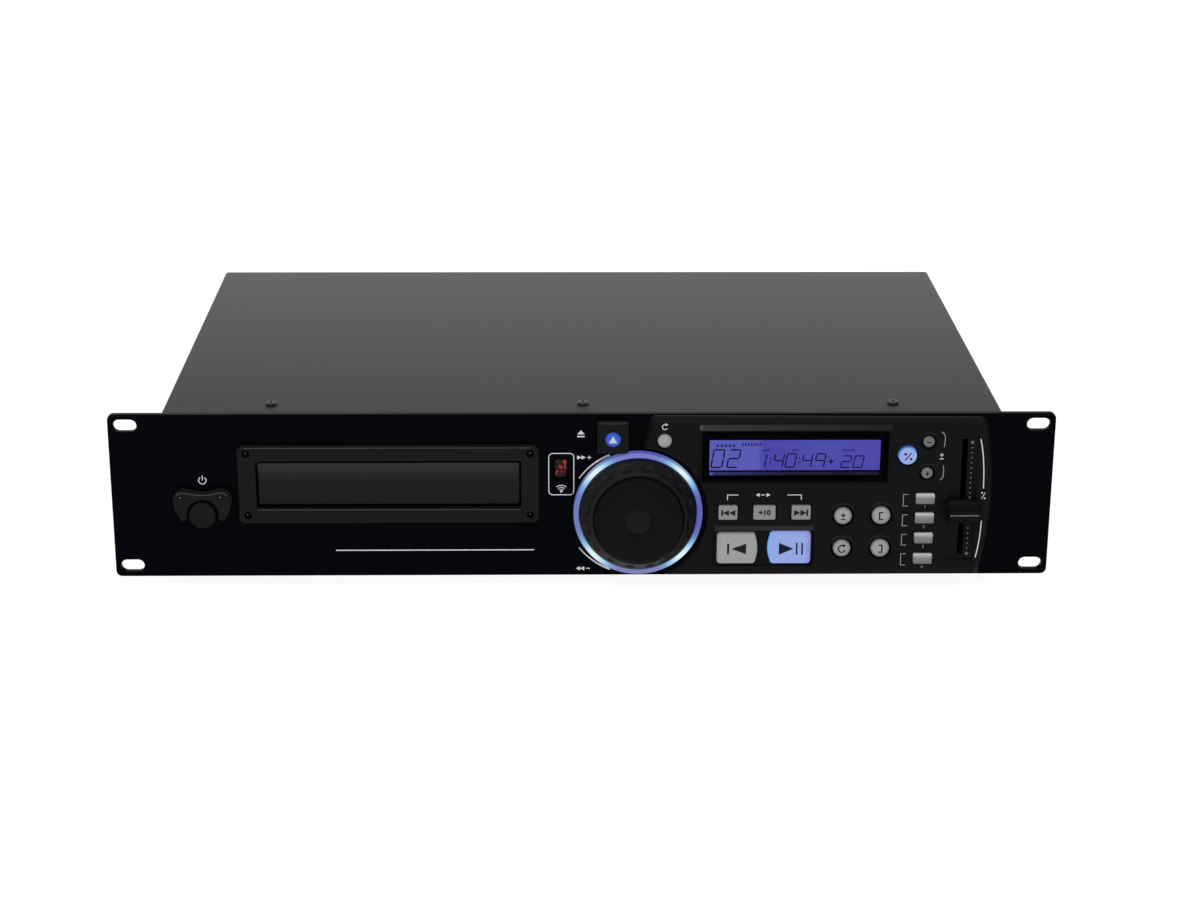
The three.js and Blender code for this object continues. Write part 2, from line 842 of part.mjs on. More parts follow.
const faderSlotLength = faderSlotTop - faderSlotBottom;
const faderSlotMiddle = (faderSlotTop + faderSlotBottom) / 2;
const faderRecessX = faderX - faderRecessOffset;

// Front panel

// The part of the panel in front of the case and the two ears are drawn apart and joined
function makeFrontPanel() {
  const middleHalf = caseWidth / 2;
  const middle = block(-middleHalf, middleHalf, 0, panelBack, 0, panelHeight);
  const ears = [-1, 1].map((side) => {
    const outer = panelWidth / 2;
    const r = panelCornerRadius;
    const outline = [
      new THREE.Vector2(middleHalf, panelHeight),
      new THREE.Vector2(middleHalf, 0),
      ...arc(outer - r, r, r, 270, 360, 4),
      ...arc(outer - r, panelHeight - r, r, 0, 90, 4),
    ];
    const mirrored = outline.map((point) => new THREE.Vector2(-point.x, point.y)).reverse();
    const slots = [-1, 1].map((up) =>
      plate(
        moved(
          stadium(rackSlotLength, rackSlotHeight, rackSlotEndSteps),
          (side * rackSlotSpanX) / 2,
          panelHeight / 2 + (up * rackSlotSpanZ) / 2,
        ),
        -cutOverrun,
        panelBack + cutOverrun,
      ),
    );
    return cut(plate(side > 0 ? outline : mirrored, 0, panelBack), slots);
  });
  return cut(join(middle, ears), panelOpenings(-cutOverrun, panelBack + cutOverrun));
}

function panelOpenings(front, back) {
  const hole = (outline, x, z) => plate(moved(outline, x, z), front, back);
  const lcd = rectangle(
    lcdWidth + 2 * displayWindowMargin,
    lcdHeight + 2 * displayWindowMargin,
    displayWindowMargin,
  );
  return [
    hole(rectangle(openingWidth, openingHeight, bezelCornerRadius / 3), trayCentreX, trayCentreZ),
    hole(circle(powerRadius + slideGap, facets), powerX, powerZ),
    hole(rectangle(ejectWidth + 2 * slideGap, ejectHeight + 2 * slideGap, ejectChamfer), ejectX, ejectZ),
    hole(rectangle(sensorWidth, sensorHeight, sensorFlange / 2), sensorX, sensorZ),
    hole(circle(hubTubeRadius + fitGap, facets), jogX, jogZ),
    hole(lcd, lcdPlace.x, lcdPlace.z),
    hole(
      stadium(faderSlotLength + 2 * slideGap, faderLeverWidth + 4 * slideGap, 4).map(
        (point) => new THREE.Vector2(-point.y, point.x),
      ),
      faderX,
      faderSlotMiddle,
    ),
    keys.map((key) => hole(key.room(keyFlange + slideGap), key.x, key.z)),
  ].flat();
}

// Control fascia

// The fascia's edge, drawn in from the full outline by an inset that keeps the number of points
function fasciaOutline(inset) {
  const r = fasciaCornerRadius;
  const ringRadius = lightRingRadius + fasciaRingGap + inset;
  const bottom = fasciaBottomInset + inset;
  const sideHalf = fasciaHeight / 2;
  const middleZ = fasciaBottomInset + sideHalf;
  const bulgeRadius = (sideHalf * sideHalf + fasciaBulge * fasciaBulge) / (2 * fasciaBulge);
  const bulgeX = fasciaRight - bulgeRadius;
  const reach = THREE.MathUtils.radToDeg(Math.asin((sideHalf - r) / bulgeRadius));
  const bulge = arc(bulgeX, middleZ, bulgeRadius - inset, -reach, reach, 8);
  const cornerX = bulgeX + (bulgeRadius - r) * Math.cos(THREE.MathUtils.degToRad(reach));
  const cornerDrop = (bulgeRadius - r) * Math.sin(THREE.MathUtils.degToRad(reach));
  const cornerTop = Math.min(middleZ + cornerDrop, fasciaTop - r);
  const ringTop = THREE.MathUtils.radToDeg(Math.acos((fasciaLeft + inset - jogX) / ringRadius));
  const ringBottom = THREE.MathUtils.radToDeg(Math.asin((bottom - jogZ) / ringRadius));
  const leftX = fasciaLeft + fasciaLeanTop + r;
  return [
    ...bulge,
    ...arc(cornerX, cornerTop, r - inset, reach, 90, 3),
    ...arc(leftX, fasciaTop - r, r - inset, 90, 170, 3),
    ...arc(jogX, jogZ, ringRadius, ringTop, ringBottom, 18),
    new THREE.Vector2(cornerX, bottom),
  ];
}

function makeControlFascia() {
  const whole = solid(
    layered([
      { outline: fasciaOutline(fasciaChamfer), y: fasciaFront },
      { outline: fasciaOutline(0), y: fasciaFront + fasciaChamfer },
      { outline: fasciaOutline(0), y: fasciaBack },
    ]),
  );
  const through = (outline, x, z) =>
    plate(moved(outline, x, z), fasciaFront - cutOverrun, fasciaBack + cutOverrun);
  const lcdHole = rectangle(lcdWidth, lcdHeight, lcdBevel / 4);
  const bevelRaise = (lcdTopBevel - lcdBevel) / 2;
  const lcdMouth = rectangle(
    lcdWidth + 2 * lcdBevel,
    lcdHeight + lcdBevel + lcdTopBevel,
    lcdBevel,
  );
  const lcdFunnel = layered([
    { outline: moved(lcdMouth, 0, bevelRaise), y: fasciaFront - cutOverrun },
    { outline: moved(lcdMouth, 0, bevelRaise), y: fasciaFront },
    { outline: lcdHole, y: fasciaFront + lcdWindowDepth },
    { outline: lcdHole, y: fasciaBack + cutOverrun },
  ]);
  const bigKeyRecessOutline = rectangle(
    bigKeyRecessRight - bigKeyRecessLeft,
    bigKeyRecessHeight,
    bigKeyRadius,
  );
  const bigKeyTool = plate(
    moved(bigKeyRecessOutline, (bigKeyRecessLeft + bigKeyRecessRight) / 2, cuePlace.z),
    fasciaFront - cutOverrun,
    fasciaFront + bigKeyRecess,
  );
  const faderRecess = plate(
    moved(
      rectangle(faderRecessWidth, faderSlotLength + 2 * faderRecessMargin, faderRecessDepth),
      faderRecessX,
      faderSlotMiddle,
    ),
    fasciaFront - cutOverrun,
    fasciaFront + faderRecessDepth,
  );
  const faderSlotOutline = rectangle(faderSlotWidth, faderSlotLength, faderSlotWidth / 8);
  const faderSlot = through(faderSlotOutline, faderX, faderSlotMiddle);
  return cut(
    whole,
    at(lcdFunnel, lcdPlace.x, 0, lcdPlace.z),
    bigKeyTool,
    faderRecess,
    faderSlot,
    keys.map((key) => through(key.outline(keyClearance), key.x, key.z)),
  );
}

// A key: chamfered cap, a flange that keeps it behind the fascia, and a stem towards its switch
function makeKey({ outline, proud }) {
  const face = fasciaFront - proud;
  const cap = solid(
    layered([
      { outline: outline(-keyChamfer), y: face },
      { outline: outline(0), y: face + keyChamfer },
      { outline: outline(0), y: keyFlangeThickness / 2 },
    ]),
  );
  const flange = plate(outline(keyFlange), 0, keyFlangeThickness);
  const half = keyStemSide / 2;
  const stem = block(-half, half, keyFlangeThickness / 2, keyStemEnd, -half, half);
  return join(cap, flange, stem);
}

// Display

function makeLcdWindow() {
  const front = fasciaFront + lcdWindowDepth;
  return plate(
    rectangle(lcdWidth - 2 * fitGap, lcdHeight - 2 * fitGap, lcdBevel / 4),
    front,
    front + lcdWindowThickness,
  );
}

function makeLcdModule() {
  const front = fasciaFront + lcdWindowDepth + lcdWindowThickness + fitGap;
  const half = lcdWidth / 2 - lcdModuleMargin;
  const halfHeight = lcdHeight / 2 - lcdModuleMargin;
  const glassDepth = lcdWindowThickness;
  const body = block(-half, half, front + glassDepth, controlBoardY - hubBoardGap, -halfHeight, halfHeight);
  const screen = block(
    -lcdWidth / 2 + screenMarginX,
    lcdWidth / 2 - screenMarginX,
    front,
    front + glassDepth + cutOverrun,
    -lcdHeight / 2 + screenMarginBottom,
    lcdHeight / 2 - screenMarginTop,
  );
  return join(body, screen);
}

// Pitch fader, drawn about its rest place

function makeFaderKnob() {
  const front = fasciaFront - faderKnobGap;
  const base = rectangle(faderKnobWidth, faderKnobHeight, faderKnobTaper);
  const top = rectangle(faderKnobWidth - faderKnobTaper, faderKnobHeight / 3, faderKnobTaper / 2);
  const cap = solid(
    layered([
      { outline: top, y: -faderKnobRise },
      { outline: base, y: front - faderKnobTaper },
      { outline: base, y: front },
    ]),
  );
  const lever = block(
    -faderLeverWidth / 2,
    faderLeverWidth / 2,
    front - faderKnobTaper,
    controlBoardY - keySwitchHeight,
    -faderLeverHeight / 2,
    faderLeverHeight / 2,
  );
  return join(cap, lever);
}

function makeFaderBody() {
  const half = faderBodyWidth / 2;
  const length = faderSlotLength / 2 + faderBodyMargin;
  const shell = block(-half, half, faderBodyFront, controlBoardY - fitGap, -length, length);
  const slot = block(
    -faderSlotWidth / 2,
    faderSlotWidth / 2,
    faderBodyFront - cutOverrun,
    controlBoardY - keySwitchHeight + keyTravel,
    -faderSlotLength / 2,
    faderSlotLength / 2,
  );
  return cut(shell, slot);
}

// Jog dial, shuttle ring and light ring, drawn about their own axis

function makeLightRing() {
  const outer = lightRingRadius;
  const inner = lightRingRadius - lightRingWidth;
  const edge = lightRingEdge;
  return solid(
    turned(
      [
        [inner, fasciaBack],
        [inner, -lightRingRise],
        [outer - 2 * edge, -lightRingRise],
        [outer - edge / 2, -lightRingRise + edge],
        [outer, -lightRingRise + 2 * edge],
        [outer, fasciaBack],
        [inner, fasciaBack],
      ],
      fineFacets,
    ),
  );
}

function makeShuttleRing() {
  const bore = hubTubeRadius + fitGap;
  const collar = bore + sheetThickness * 2;
  const ring = solid(
    turned(
      [
        [bore, -cutOverrun],
        [bore, -hubTubeRise + slideGap],
        [collar, -hubTubeRise + slideGap],
        [collar, -shuttleWebRise],
        [shuttleBoreRadius, -shuttleWebRise],
        [shuttleBoreRadius, -shuttleCrownRise + fitGap],
        [shuttleCrownRadius, -shuttleCrownRise],
        [shuttleRadius, -shuttleRimRise],
        [shuttleRadius, -cutOverrun],
        [bore, -cutOverrun],
      ],
      fineFacets,
    ),
  );
  const middleRadius = (shuttleCrownRadius + shuttleRadius) / 2;
  const middleRise = (shuttleCrownRise + shuttleRimRise) / 2;
  const fall = Math.atan2(shuttleCrownRise - shuttleRimRise, shuttleRadius - shuttleCrownRadius);
  const lift = dimpleRadius - dimpleDepth;
  const dimples = [];
  for (let i = 0; i < dimpleCount; i += 1) {
    const angle = firstDimpleAngle + (2 * Math.PI * i) / dimpleCount;
    const reach = middleRadius + lift * Math.sin(fall);
    const ball = new THREE.SphereGeometry(dimpleRadius, dimpleFacets, dimpleFacets / 2);
    dimples.push(
      at(ball, reach * Math.cos(angle), -middleRise - lift * Math.cos(fall), reach * Math.sin(angle)),
    );
  }
  return cut(ring, dimples);
}

function makeJogDial() {
  return solid(
    turned(
      [
        [0, -dialRise + dialCapDepth],
        [dialCapRadius, -dialRise + dialCapDepth],
        [dialCapRadius + dialCapDepth, -dialRise],
        [dialRadius - dialChamfer, -dialRise],
        [dialRadius, -dialRise + dialChamfer],
        [dialRadius, -dialBackRise],
        [dialShaftRadius, -dialBackRise],
        [dialShaftRadius, controlBoardY - 2 * hubBoardGap - sheetThickness],
        [0, controlBoardY - 2 * hubBoardGap - sheetThickness],
      ],
      fineFacets,
    ),
  );
}

function makeJogHub() {
  const bore = dialShaftRadius + runningGap;
  const body = solid(
    turned(
      [
        [bore, -hubTubeRise],
        [hubTubeRadius, -hubTubeRise],
        [hubTubeRadius, wallFront],
        [hubFlangeRadius, wallFront],
        [hubFlangeRadius, wallFront + hubFlangeThickness],
        [bore, wallFront + hubFlangeThickness],
        [bore, -hubTubeRise],
      ],
      facets,
    ),
  );
  const half = encoderHalfWidth;
  const encoder = block(-half, half, wallFront + fitGap, controlBoardY - hubBoardGap, -half, half);
  const shaftRoomBack = controlBoardY - hubBoardGap - sheetThickness / 2;
  const shaftRoom = rod(bore, wallFront - cutOverrun, shaftRoomBack, 0, 0);
  return join(body, cut(encoder, shaftRoom));
}

// Power button, guard and switch, drawn about the button's axis

function makePowerButton() {
  const stemEnd = switchFront + switchDepth / 4;
  return solid(
    turned(
      [
        [0, -powerFace],
        [powerRadius - powerChamfer, -powerFace],
        [powerRadius, -powerFace + powerChamfer],
        [powerRadius, wallFront],
        [powerRadius + powerFlange, wallFront],
        [powerRadius + powerFlange, wallFront + powerFlange],
        [powerStemRadius, wallFront + powerFlange],
        [powerStemRadius, stemEnd],
        [0, stemEnd],
      ],
      facets,
    ),
  );
}

function makePowerSwitch() {
  const half = switchHalfWidth;
  const back = switchFront + switchDepth;
  const body = block(-half, half, switchFront, back, -half, half);
  const reach = powerRadius + powerFlange + slideGap + switchEarThickness;
  const ears = [-1, 1].map((side) => {
    const inner = side * (reach - switchEarThickness);
    const outer = side * reach;
    return join(
      block(
        Math.min(inner, outer),
        Math.max(inner, outer),
        wallBack + fitGap,
        switchFront + switchEarThickness,
        -half,
        half,
      ),
      block(
        Math.min(side * half - side * cutOverrun, outer),
        Math.max(side * half - side * cutOverrun, outer),
        switchFront,
        switchFront + switchEarThickness,
        -half,
        half,
      ),
      block(
        Math.min(inner, side * (reach + switchEarWidth)),
        Math.max(inner, side * (reach + switchEarWidth)),
        wallBack + fitGap,
        wallBack + fitGap + switchEarThickness,
        -half,
        half,
      ),
    );
  });
  const bore = rod(powerStemRadius + slideGap, switchFront - cutOverrun, back - switchDepth / 4, 0, 0);
  return cut(join(body, ears), bore);
}

// Moustache-shaped guard: two lobes that hang beside the button, joined above it
function guardOutline(inset) {
  const archRadius = powerRadius + guardArchGap + inset;
  const half = guardHalfWidth - inset;
  const top = guardRise - inset;
  const dip = guardDip - inset;
  const lobeX = half * guardLobeShare;
  const lobeRadius = half - lobeX;
  const lobeZ = top - lobeRadius;
  const tipX = half * guardTipShare;
  const tipZ = -guardDrop + inset;
  const rightSide = [
    ...arc(tipX, tipZ + guardTipRadius, guardTipRadius, 250, 320, 2),
    new THREE.Vector2(half * guardFlankShares[0], lobeZ * guardFlankShares[1]),
    ...arc(lobeX, lobeZ, lobeRadius, 0, 100, 5),
    new THREE.Vector2(half * guardShoulderShares[0], dip + (top - dip) * guardShoulderShares[1]),
  ];
  const leftSide = rightSide.map((point) => new THREE.Vector2(-point.x, point.y)).reverse();
  const arch = arc(0, 0, archRadius, 196, -16, 14);
  return [...rightSide, new THREE.Vector2(0, dip), ...leftSide, ...arch];
}

function makePowerGuard() {
  return solid(
    layered([
      { outline: guardOutline(guardChamfer), y: -guardFace },
      { outline: guardOutline(0), y: -guardFace + guardChamfer },
      { outline: guardOutline(0), y: fasciaBack },
    ]),
  );
}

// Eject button and its lens, drawn about the button's middle

const lensPlaceZ = -lensDiscDrop;

function makeEjectButton() {
  const face = rectangle(ejectWidth - 2 * ejectChamfer, ejectHeight - 2 * ejectChamfer, ejectChamfer);
  const outline = rectangle(ejectWidth, ejectHeight, ejectChamfer);
  const cap = solid(
    layered([
      { outline: face, y: -ejectFace },
      { outline, y: -ejectFace + ejectChamfer },
      { outline, y: wallFront + ejectChamfer / 2 },
    ]),
  );
  const halfFlange = ejectWidth / 2 + ejectFlange;
  const flangeTop = wallTop - sheetThickness - slideGap - ejectZ;
  const flange = block(
    -halfFlange,
    halfFlange,
    wallFront,
    wallFront + ejectChamfer,
    -ejectHeight / 2 - ejectFlange,
    flangeTop,
  );
  const overhang = block(
    -ejectWidth,
    ejectWidth,
    wallFront - keyTravel - slideGap,
    wallFront + ejectChamfer + cutOverrun,
    flangeTop,
    ejectHeight,
  );
  const half = keyStemSide / 2;
  const stem = block(-half, half, wallFront, keyStemEnd, -half, half);
  const pocket = rod(
    lensDiscRadius + fitGap,
    -ejectFace - cutOverrun,
    -ejectFace - lensDiscProud + lensDiscDepth + fitGap,
    0,
    lensPlaceZ,
  );
  return cut(join(cap, flange, stem), overhang, pocket);
}

function makeEjectLens() {
  const front = -ejectFace - lensDiscProud;
  return rod(lensDiscRadius, front, front + lensDiscDepth, 0, lensPlaceZ, facets);
}

// Remote-sensor window, drawn about its middle

function makeSensorWindow() {
  const pane = plate(
    rectangle(sensorWidth - 2 * fitGap, sensorHeight - 2 * fitGap, sensorFlange / 3),
    -fitGap / 2,
    wallFront + fitGap,
  );
  const flange = plate(
    rectangle(sensorWidth + 2 * sensorFlange, sensorHeight + 2 * sensorFlange, sensorFlange),
    wallFront,
    wallFront + sensorFlange,
  );
  return join(pane, flange);
}

// Tray bezel and tray front

function makeTrayBezel() {
  const outline = rectangle(bezelWidth, bezelHeight, bezelCornerRadius);
  const face = rectangle(
    bezelWidth - 2 * bezelChamfer,
    bezelHeight - 2 * bezelChamfer,
    bezelCornerRadius - bezelChamfer,
  );
  const body = solid(
    layered([
      { outline: face, y: -bezelThickness },
      { outline, y: -bezelThickness + bezelChamfer },
      { outline, y: fasciaBack },
    ]),
  );
  const mouth = solid(
    layered([
      {
        outline: rectangle(
          openingWidth + 2 * bezelChamfer,
          openingHeight + 2 * bezelChamfer,
          bezelCornerRadius / 3 + bezelChamfer,
        ),
        y: -bezelThickness - cutOverrun,
      },
      {
        outline: rectangle(openingWidth, openingHeight, bezelCornerRadius / 3),
        y: -bezelThickness + bezelChamfer,
      },
      { outline: rectangle(openingWidth, openingHeight, bezelCornerRadius / 3), y: cutOverrun },
    ]),
  );
  const screwRecesses = [-1, 1].flatMap((side) =>
    [-1, 1].map((up) =>
      rod(
        bezelScrewRecessRadius,
        -bezelThickness - cutOverrun,
        -bezelThickness + bezelScrewRecessDepth,
        side * (bezelWidth / 2 - bezelScrewInsetX),
        up * (bezelHeight / 2 - bezelScrewInsetZ),
        tinyFacets,
      ),
    ),
  );
  return cut(body, mouth, screwRecesses);
}

function makeTrayFront() {
  const outer = rectangle(trayFaceWidth, trayFaceHeight, trayFaceChamfer);
  const face = rectangle(
    trayFaceWidth - 2 * trayFaceChamfer,
    trayFaceHeight - 2 * trayFaceChamfer,
    trayFaceChamfer / 2,
  );
  return solid(
    layered([
      { outline: face, y: trayFaceFront },
      { outline: outer, y: trayFaceFront + trayFaceChamfer },
      { outline: outer, y: trayFaceFront + trayFaceThickness },
    ]),
  );
}

// Disc tray: a pan with a round well, a slot that is open to the rear, and a rack underneath
function makeDiscTray() {
  const left = trayCentreX - panHalfWidth;
  const right = trayCentreX + panHalfWidth;
  const rear = panFront + panLength;
  const pan = block(left, right, panFront, rear, panBottom, panTop);
  const wellRadius = discRadius + discClearance;
  const well = post(wellRadius, panFloorTop, panTop + cutOverrun, trayCentreX, spindleY, fineFacets);
  const smallWell = post(
    smallDiscRadius,
    panFloorTop - smallDiscStep,
    panTop,
    trayCentreX,
    spindleY,
    facets,
  );
  const halfSlot = panSlotWidth / 2;
  const slot = join(
    block(
      trayCentreX - halfSlot,
      trayCentreX + halfSlot,
      spindleY,
      rear + cutOverrun,
      panBottom - cutOverrun,
      panTop + cutOverrun,
    ),
    post(halfSlot, panBottom - cutOverrun, panTop + cutOverrun, trayCentreX, spindleY, facets),
  );
  const pocketFront = spindleY + wellRadius + panPocketMargin;
  const pockets = [-1, 1].map((side) => {
    const inner = trayCentreX + side * (halfSlot + panPocketMargin);
    const outer = trayCentreX + side * (panHalfWidth - panPocketMargin);
    return block(
      Math.min(inner, outer),
      Math.max(inner, outer),
      pocketFront,
      rear - panPocketMargin,
      panFloorTop,
      panTop + cutOverrun,
    );
  });
  const rack = slab(
    rackOutline(
      gearModule,
      rackPitchX,
      rackPitchX - rackBacking,
      panFront + panFrontWall,
      rear - panFrontWall,
      driveGearY,
    ),
    panBottom - rackHeight,
    panBottom + panFloorThickness / 2,
  );
  return join(cut(pan, well, smallWell, slot, pockets), rack);
}

// Loader frame: two guide rails on a floor that stands on four posts
function makeLoaderFrame() {
  const sides = [-1, 1].map((side) => {
    const near = trayCentreX + side * frameInner;
    const far = trayCentreX + side * frameOuter;
    const shelf = trayCentreX + side * (frameInner - ledgeWidth);
    return join(
      block(Math.min(near, far), Math.max(near, far), frameFront, frameBack, frameFloorBottom, frameTop),
      block(
        Math.min(shelf, far),
        Math.max(shelf, far),
        frameFront,
        frameBack,
        ledgeTop - ledgeThickness,
        ledgeTop,
      ),
      block(Math.min(shelf, far), Math.max(shelf, far), frameFront, frameBack, lipBottom, frameTop),
    );
  });
  const left = trayCentreX - frameOuter;
  const right = trayCentreX + frameOuter;
  const floor = block(left, right, frameFront, frameBack, frameFloorBottom, frameFloorTop);
  const deckRoom = block(
    trayCentreX - deckHalfWidth - deckWindowMargin,
    trayCentreX + deckHalfWidth + deckWindowMargin,
    deckFront - deckWindowMargin,
    deckRear + deckWindowMargin,
    frameFloorBottom - cutOverrun,
    frameFloorTop + cutOverrun,
  );
  const posts = [left, right - postSide].flatMap((x) =>
    [frameFront, frameBack - postSide].map((y) =>
      block(x, x + postSide, y, y + postSide, floorTop + fitGap, frameFloorTop),
    ),
  );
  const pinZ = (deckBottom + deckTop) / 2;
  const bearings = [-1, 1].map((side) => {
    const near = trayCentreX + side * (deckHalfWidth + deckWindowMargin);
    const far = near + side * (deckPinLength + cutOverrun);
    const halfLength = 3 * deckPinRadius;
    const room = deckPinRadius + slideGap;
    const tower = block(
      Math.min(near, far),
      Math.max(near, far),
      deckPivotY - halfLength,
      deckPivotY + halfLength,
      frameFloorBottom,
      pinZ + deckPinRadius,
    );
    const notch = join(
      bar(room, Math.min(near, far) - cutOverrun, Math.max(near, far) + cutOverrun, deckPivotY, pinZ),
      block(
        Math.min(near, far) - cutOverrun,
        Math.max(near, far) + cutOverrun,
        deckPivotY - room,
        deckPivotY + room,
        pinZ,
        pinZ + deckPinRadius + cutOverrun,
      ),
    );
    return cut(tower, notch);
  });
  const axle = post(axleRadius, frameFloorBottom, gearTop, driveGearX, driveGearY);
  const motorHole = post(
    motorShaftRadius + 2 * slideGap,
    frameFloorBottom - cutOverrun,
    frameFloorTop + cutOverrun,
    motorX,
    driveGearY,
  );
  return cut(join(cut(floor, deckRoom), sides, posts, bearings, axle), motorHole);
}

// Tray drive gear: belt pulley below, pinion above, drawn about its own axis
function makeDriveGear() {
  const bore = axleRadius + fitGap;
  const grooveRadius = bigPulleyRadius - pulleyGrooveDepth;
  const middle = (pulleyBottom + pulleyTop) / 2;
  const grooveHalf = pulleyGrooveHeight / 2;
  const neck = gearPitchRadius / 2;
  const pulley = solid(
    spun(
      [
        [0, pulleyBottom],
        [bigPulleyRadius, pulleyBottom],
        [bigPulleyRadius, middle - grooveHalf],
        [grooveRadius, middle - grooveHalf],
        [grooveRadius, middle + grooveHalf],
        [bigPulleyRadius, middle + grooveHalf],
        [bigPulleyRadius, pulleyTop],
        [neck, pulleyTop],
        [neck, gearTop - fitGap],
        [0, gearTop - fitGap],
      ],
      facets,
    ),
  );
  // The contact with the rack lies on the side of -X, where an even number of teeth puts a tooth
  const teeth = slab(gearOutline(gearModule, gearTeeth), gearBottom, gearTop);
  const room = post(bore, pulleyBottom - cutOverrun, gearTop + cutOverrun, 0, 0);
  return cut(join(pulley, teeth), room);
}

function makeLoaderMotor() {
  const top = frameFloorBottom - fitGap;
  const can = post(motorRadius, top - motorHeight, top, 0, 0, facets);
  const bore = post(motorShaftRadius + fitGap, top - motorHeight / 2, top + cutOverrun, 0, 0);
  return cut(can, bore);
}

function makeMotorPulley() {
  const middle = (pulleyBottom + pulleyTop) / 2;
  const grooveHalf = pulleyGrooveHeight / 2;
  const shaftBottom = frameFloorBottom - fitGap - motorHeight / 2 + fitGap;
  return solid(
    spun(
      [
        [0, shaftBottom],
        [motorShaftRadius, shaftBottom],
        [motorShaftRadius, pulleyBottom],
        [smallPulleyRadius, pulleyBottom],
        [smallPulleyRadius, middle - grooveHalf],
        [smallPulleyRadius - pulleyGrooveDepth, middle - grooveHalf],
        [smallPulleyRadius - pulleyGrooveDepth, middle + grooveHalf],
        [smallPulleyRadius, middle + grooveHalf],
        [smallPulleyRadius, pulleyTop],
        [0, pulleyTop],
      ],
      smallFacets,
    ),
  );
}

// Outline of a belt round the big pulley at the origin and the small one on the side of +X
function beltOutline(bigRadius, smallRadius) {
  const lean = THREE.MathUtils.radToDeg(Math.acos((bigRadius - smallRadius) / motorOffsetX));
  return [
    ...arc(motorOffsetX, 0, smallRadius, -lean, lean, 8),
    ...arc(0, 0, bigRadius, lean, 360 - lean, 16),
  ];
}

function makeDriveBelt() {
  const big = bigPulleyRadius - pulleyGrooveDepth + fitGap;
  const small = smallPulleyRadius - pulleyGrooveDepth + fitGap;
  const middle = (pulleyBottom + pulleyTop) / 2;
  const outer = slab(
    beltOutline(big + beltThickness, small + beltThickness),
    middle - beltHeight / 2,
    middle + beltHeight / 2,
  );
  const inner = slab(
    beltOutline(big, small),
    middle - beltHeight / 2 - cutOverrun,
    middle + beltHeight / 2 + cutOverrun,
  );
  return cut(outer, inner);
}

// Traverse deck: plate with a window for the sled, two end blocks that hold the rods, two pivot pins
function makeTraverseDeck() {
  const x = trayCentreX;
  const sheet = block(x - deckHalfWidth, x + deckHalfWidth, deckFront, deckRear, deckBottom, deckTop);
  const travelFront = sledY - sledHalfLength;
  const travelRear = sledY + sledTravel + sledHalfLength;
  const window = block(
    x - sledRodX + 2 * sledRodRadius,
    x + sledRodX - 2 * sledRodRadius,
    travelFront,
    travelRear,
    deckBottom - cutOverrun,
    deckTop + cutOverrun,
  );
  const blockTop = sledRodZ + 2 * sledRodRadius;
  const blockLength = 2 * sledRodRadius;
  const ends = [travelFront - blockLength - slideGap, travelRear + slideGap].map((front) =>
    block(x - sledHalfWidth, x + sledHalfWidth, front, front + blockLength, deckBottom, blockTop),
  );
  const rods = [-1, 1].map((side) =>
    rod(
      sledRodRadius,
      travelFront - blockLength,
      travelRear + blockLength,
      x + side * sledRodX,
      sledRodZ,
      tinyFacets,
    ),
  );
  const pinZ = (deckBottom + deckTop) / 2;
  const pinReach = deckHalfWidth + deckWindowMargin + deckPinLength;
  const pins = bar(deckPinRadius, x - pinReach, x + pinReach, deckPivotY, pinZ);
  const pinBoss = block(
    x - deckHalfWidth,
    x + deckHalfWidth,
    deckPivotY - 2 * deckPinRadius,
    deckPivotY + 2 * deckPinRadius,
    deckBottom,
    pinZ + deckPinRadius,
  );
  const axle = post(
    sledAxleRadius,
    deckBottom,
    sledRodZ + sledRodRadius,
    sledGearX,
    sledGearY,
    tinyFacets,
  );
  const spindleHole = post(
    spindleShaftRadius + slideGap,
    deckBottom - cutOverrun,
    deckTop + cutOverrun,
    x,
    spindleY,
    tinyFacets,
  );
  return cut(join(cut(sheet, window), ends, rods, pinBoss, pins, axle), spindleHole);
}

function makeSpindleMotor() {
  const top = deckBottom - fitGap;
  const can = post(spindleMotorRadius, top - spindleMotorHeight, top, 0, 0, facets);
  const bore = post(spindleShaftRadius + slideGap, top - spindleMotorHeight / 2, top + cutOverrun, 0, 0);
  return cut(can, bore);
}

function makeTurntable() {
  const shaftBottom = deckBottom - spindleMotorHeight / 2;
  const discSeat = turntableTop;
  const under = discSeat - turntableThickness;
  return solid(
    spun(
      [
        [0, shaftBottom],
        [spindleShaftRadius, shaftBottom],
        [spindleShaftRadius, deckTop + slideGap],
        [spindleHubRadius, deckTop + slideGap],
        [spindleHubRadius, under],
        [turntableRadius, under],
        [turntableRadius, discSeat],
        [coneRadius, discSeat],
        [coneRadius * coneTopShare, discSeat + coneHeight],
        [0, discSeat + coneHeight],
      ],
      facets,
    ),
  );
}

// Clamp puck: a plate above the disc, a neck through the bridge and a flange that rests on it
function makeDiscClamp() {
  const plateBottom = discBottom + discThickness + fitGap;
  const plateTop = plateBottom + clampPlateThickness;
  const flangeBottom = bridgeTop + slideGap;
  const room = coneRadius + slideGap;
  const roomTop = turntableTop + coneHeight + slideGap;
  return solid(
    spun(
      [
        [0, roomTop],
        [room, roomTop],
        [room, plateBottom],
        [clampRadius, plateBottom],
        [clampRadius, plateTop],
        [clampNeckRadius, plateTop],
        [clampNeckRadius, flangeBottom],
        [clampFlangeRadius, flangeBottom],
        [clampFlangeRadius, flangeBottom + clampFlangeThickness],
        [0, flangeBottom + clampFlangeThickness],
      ],
      facets,
    ),
  );
}

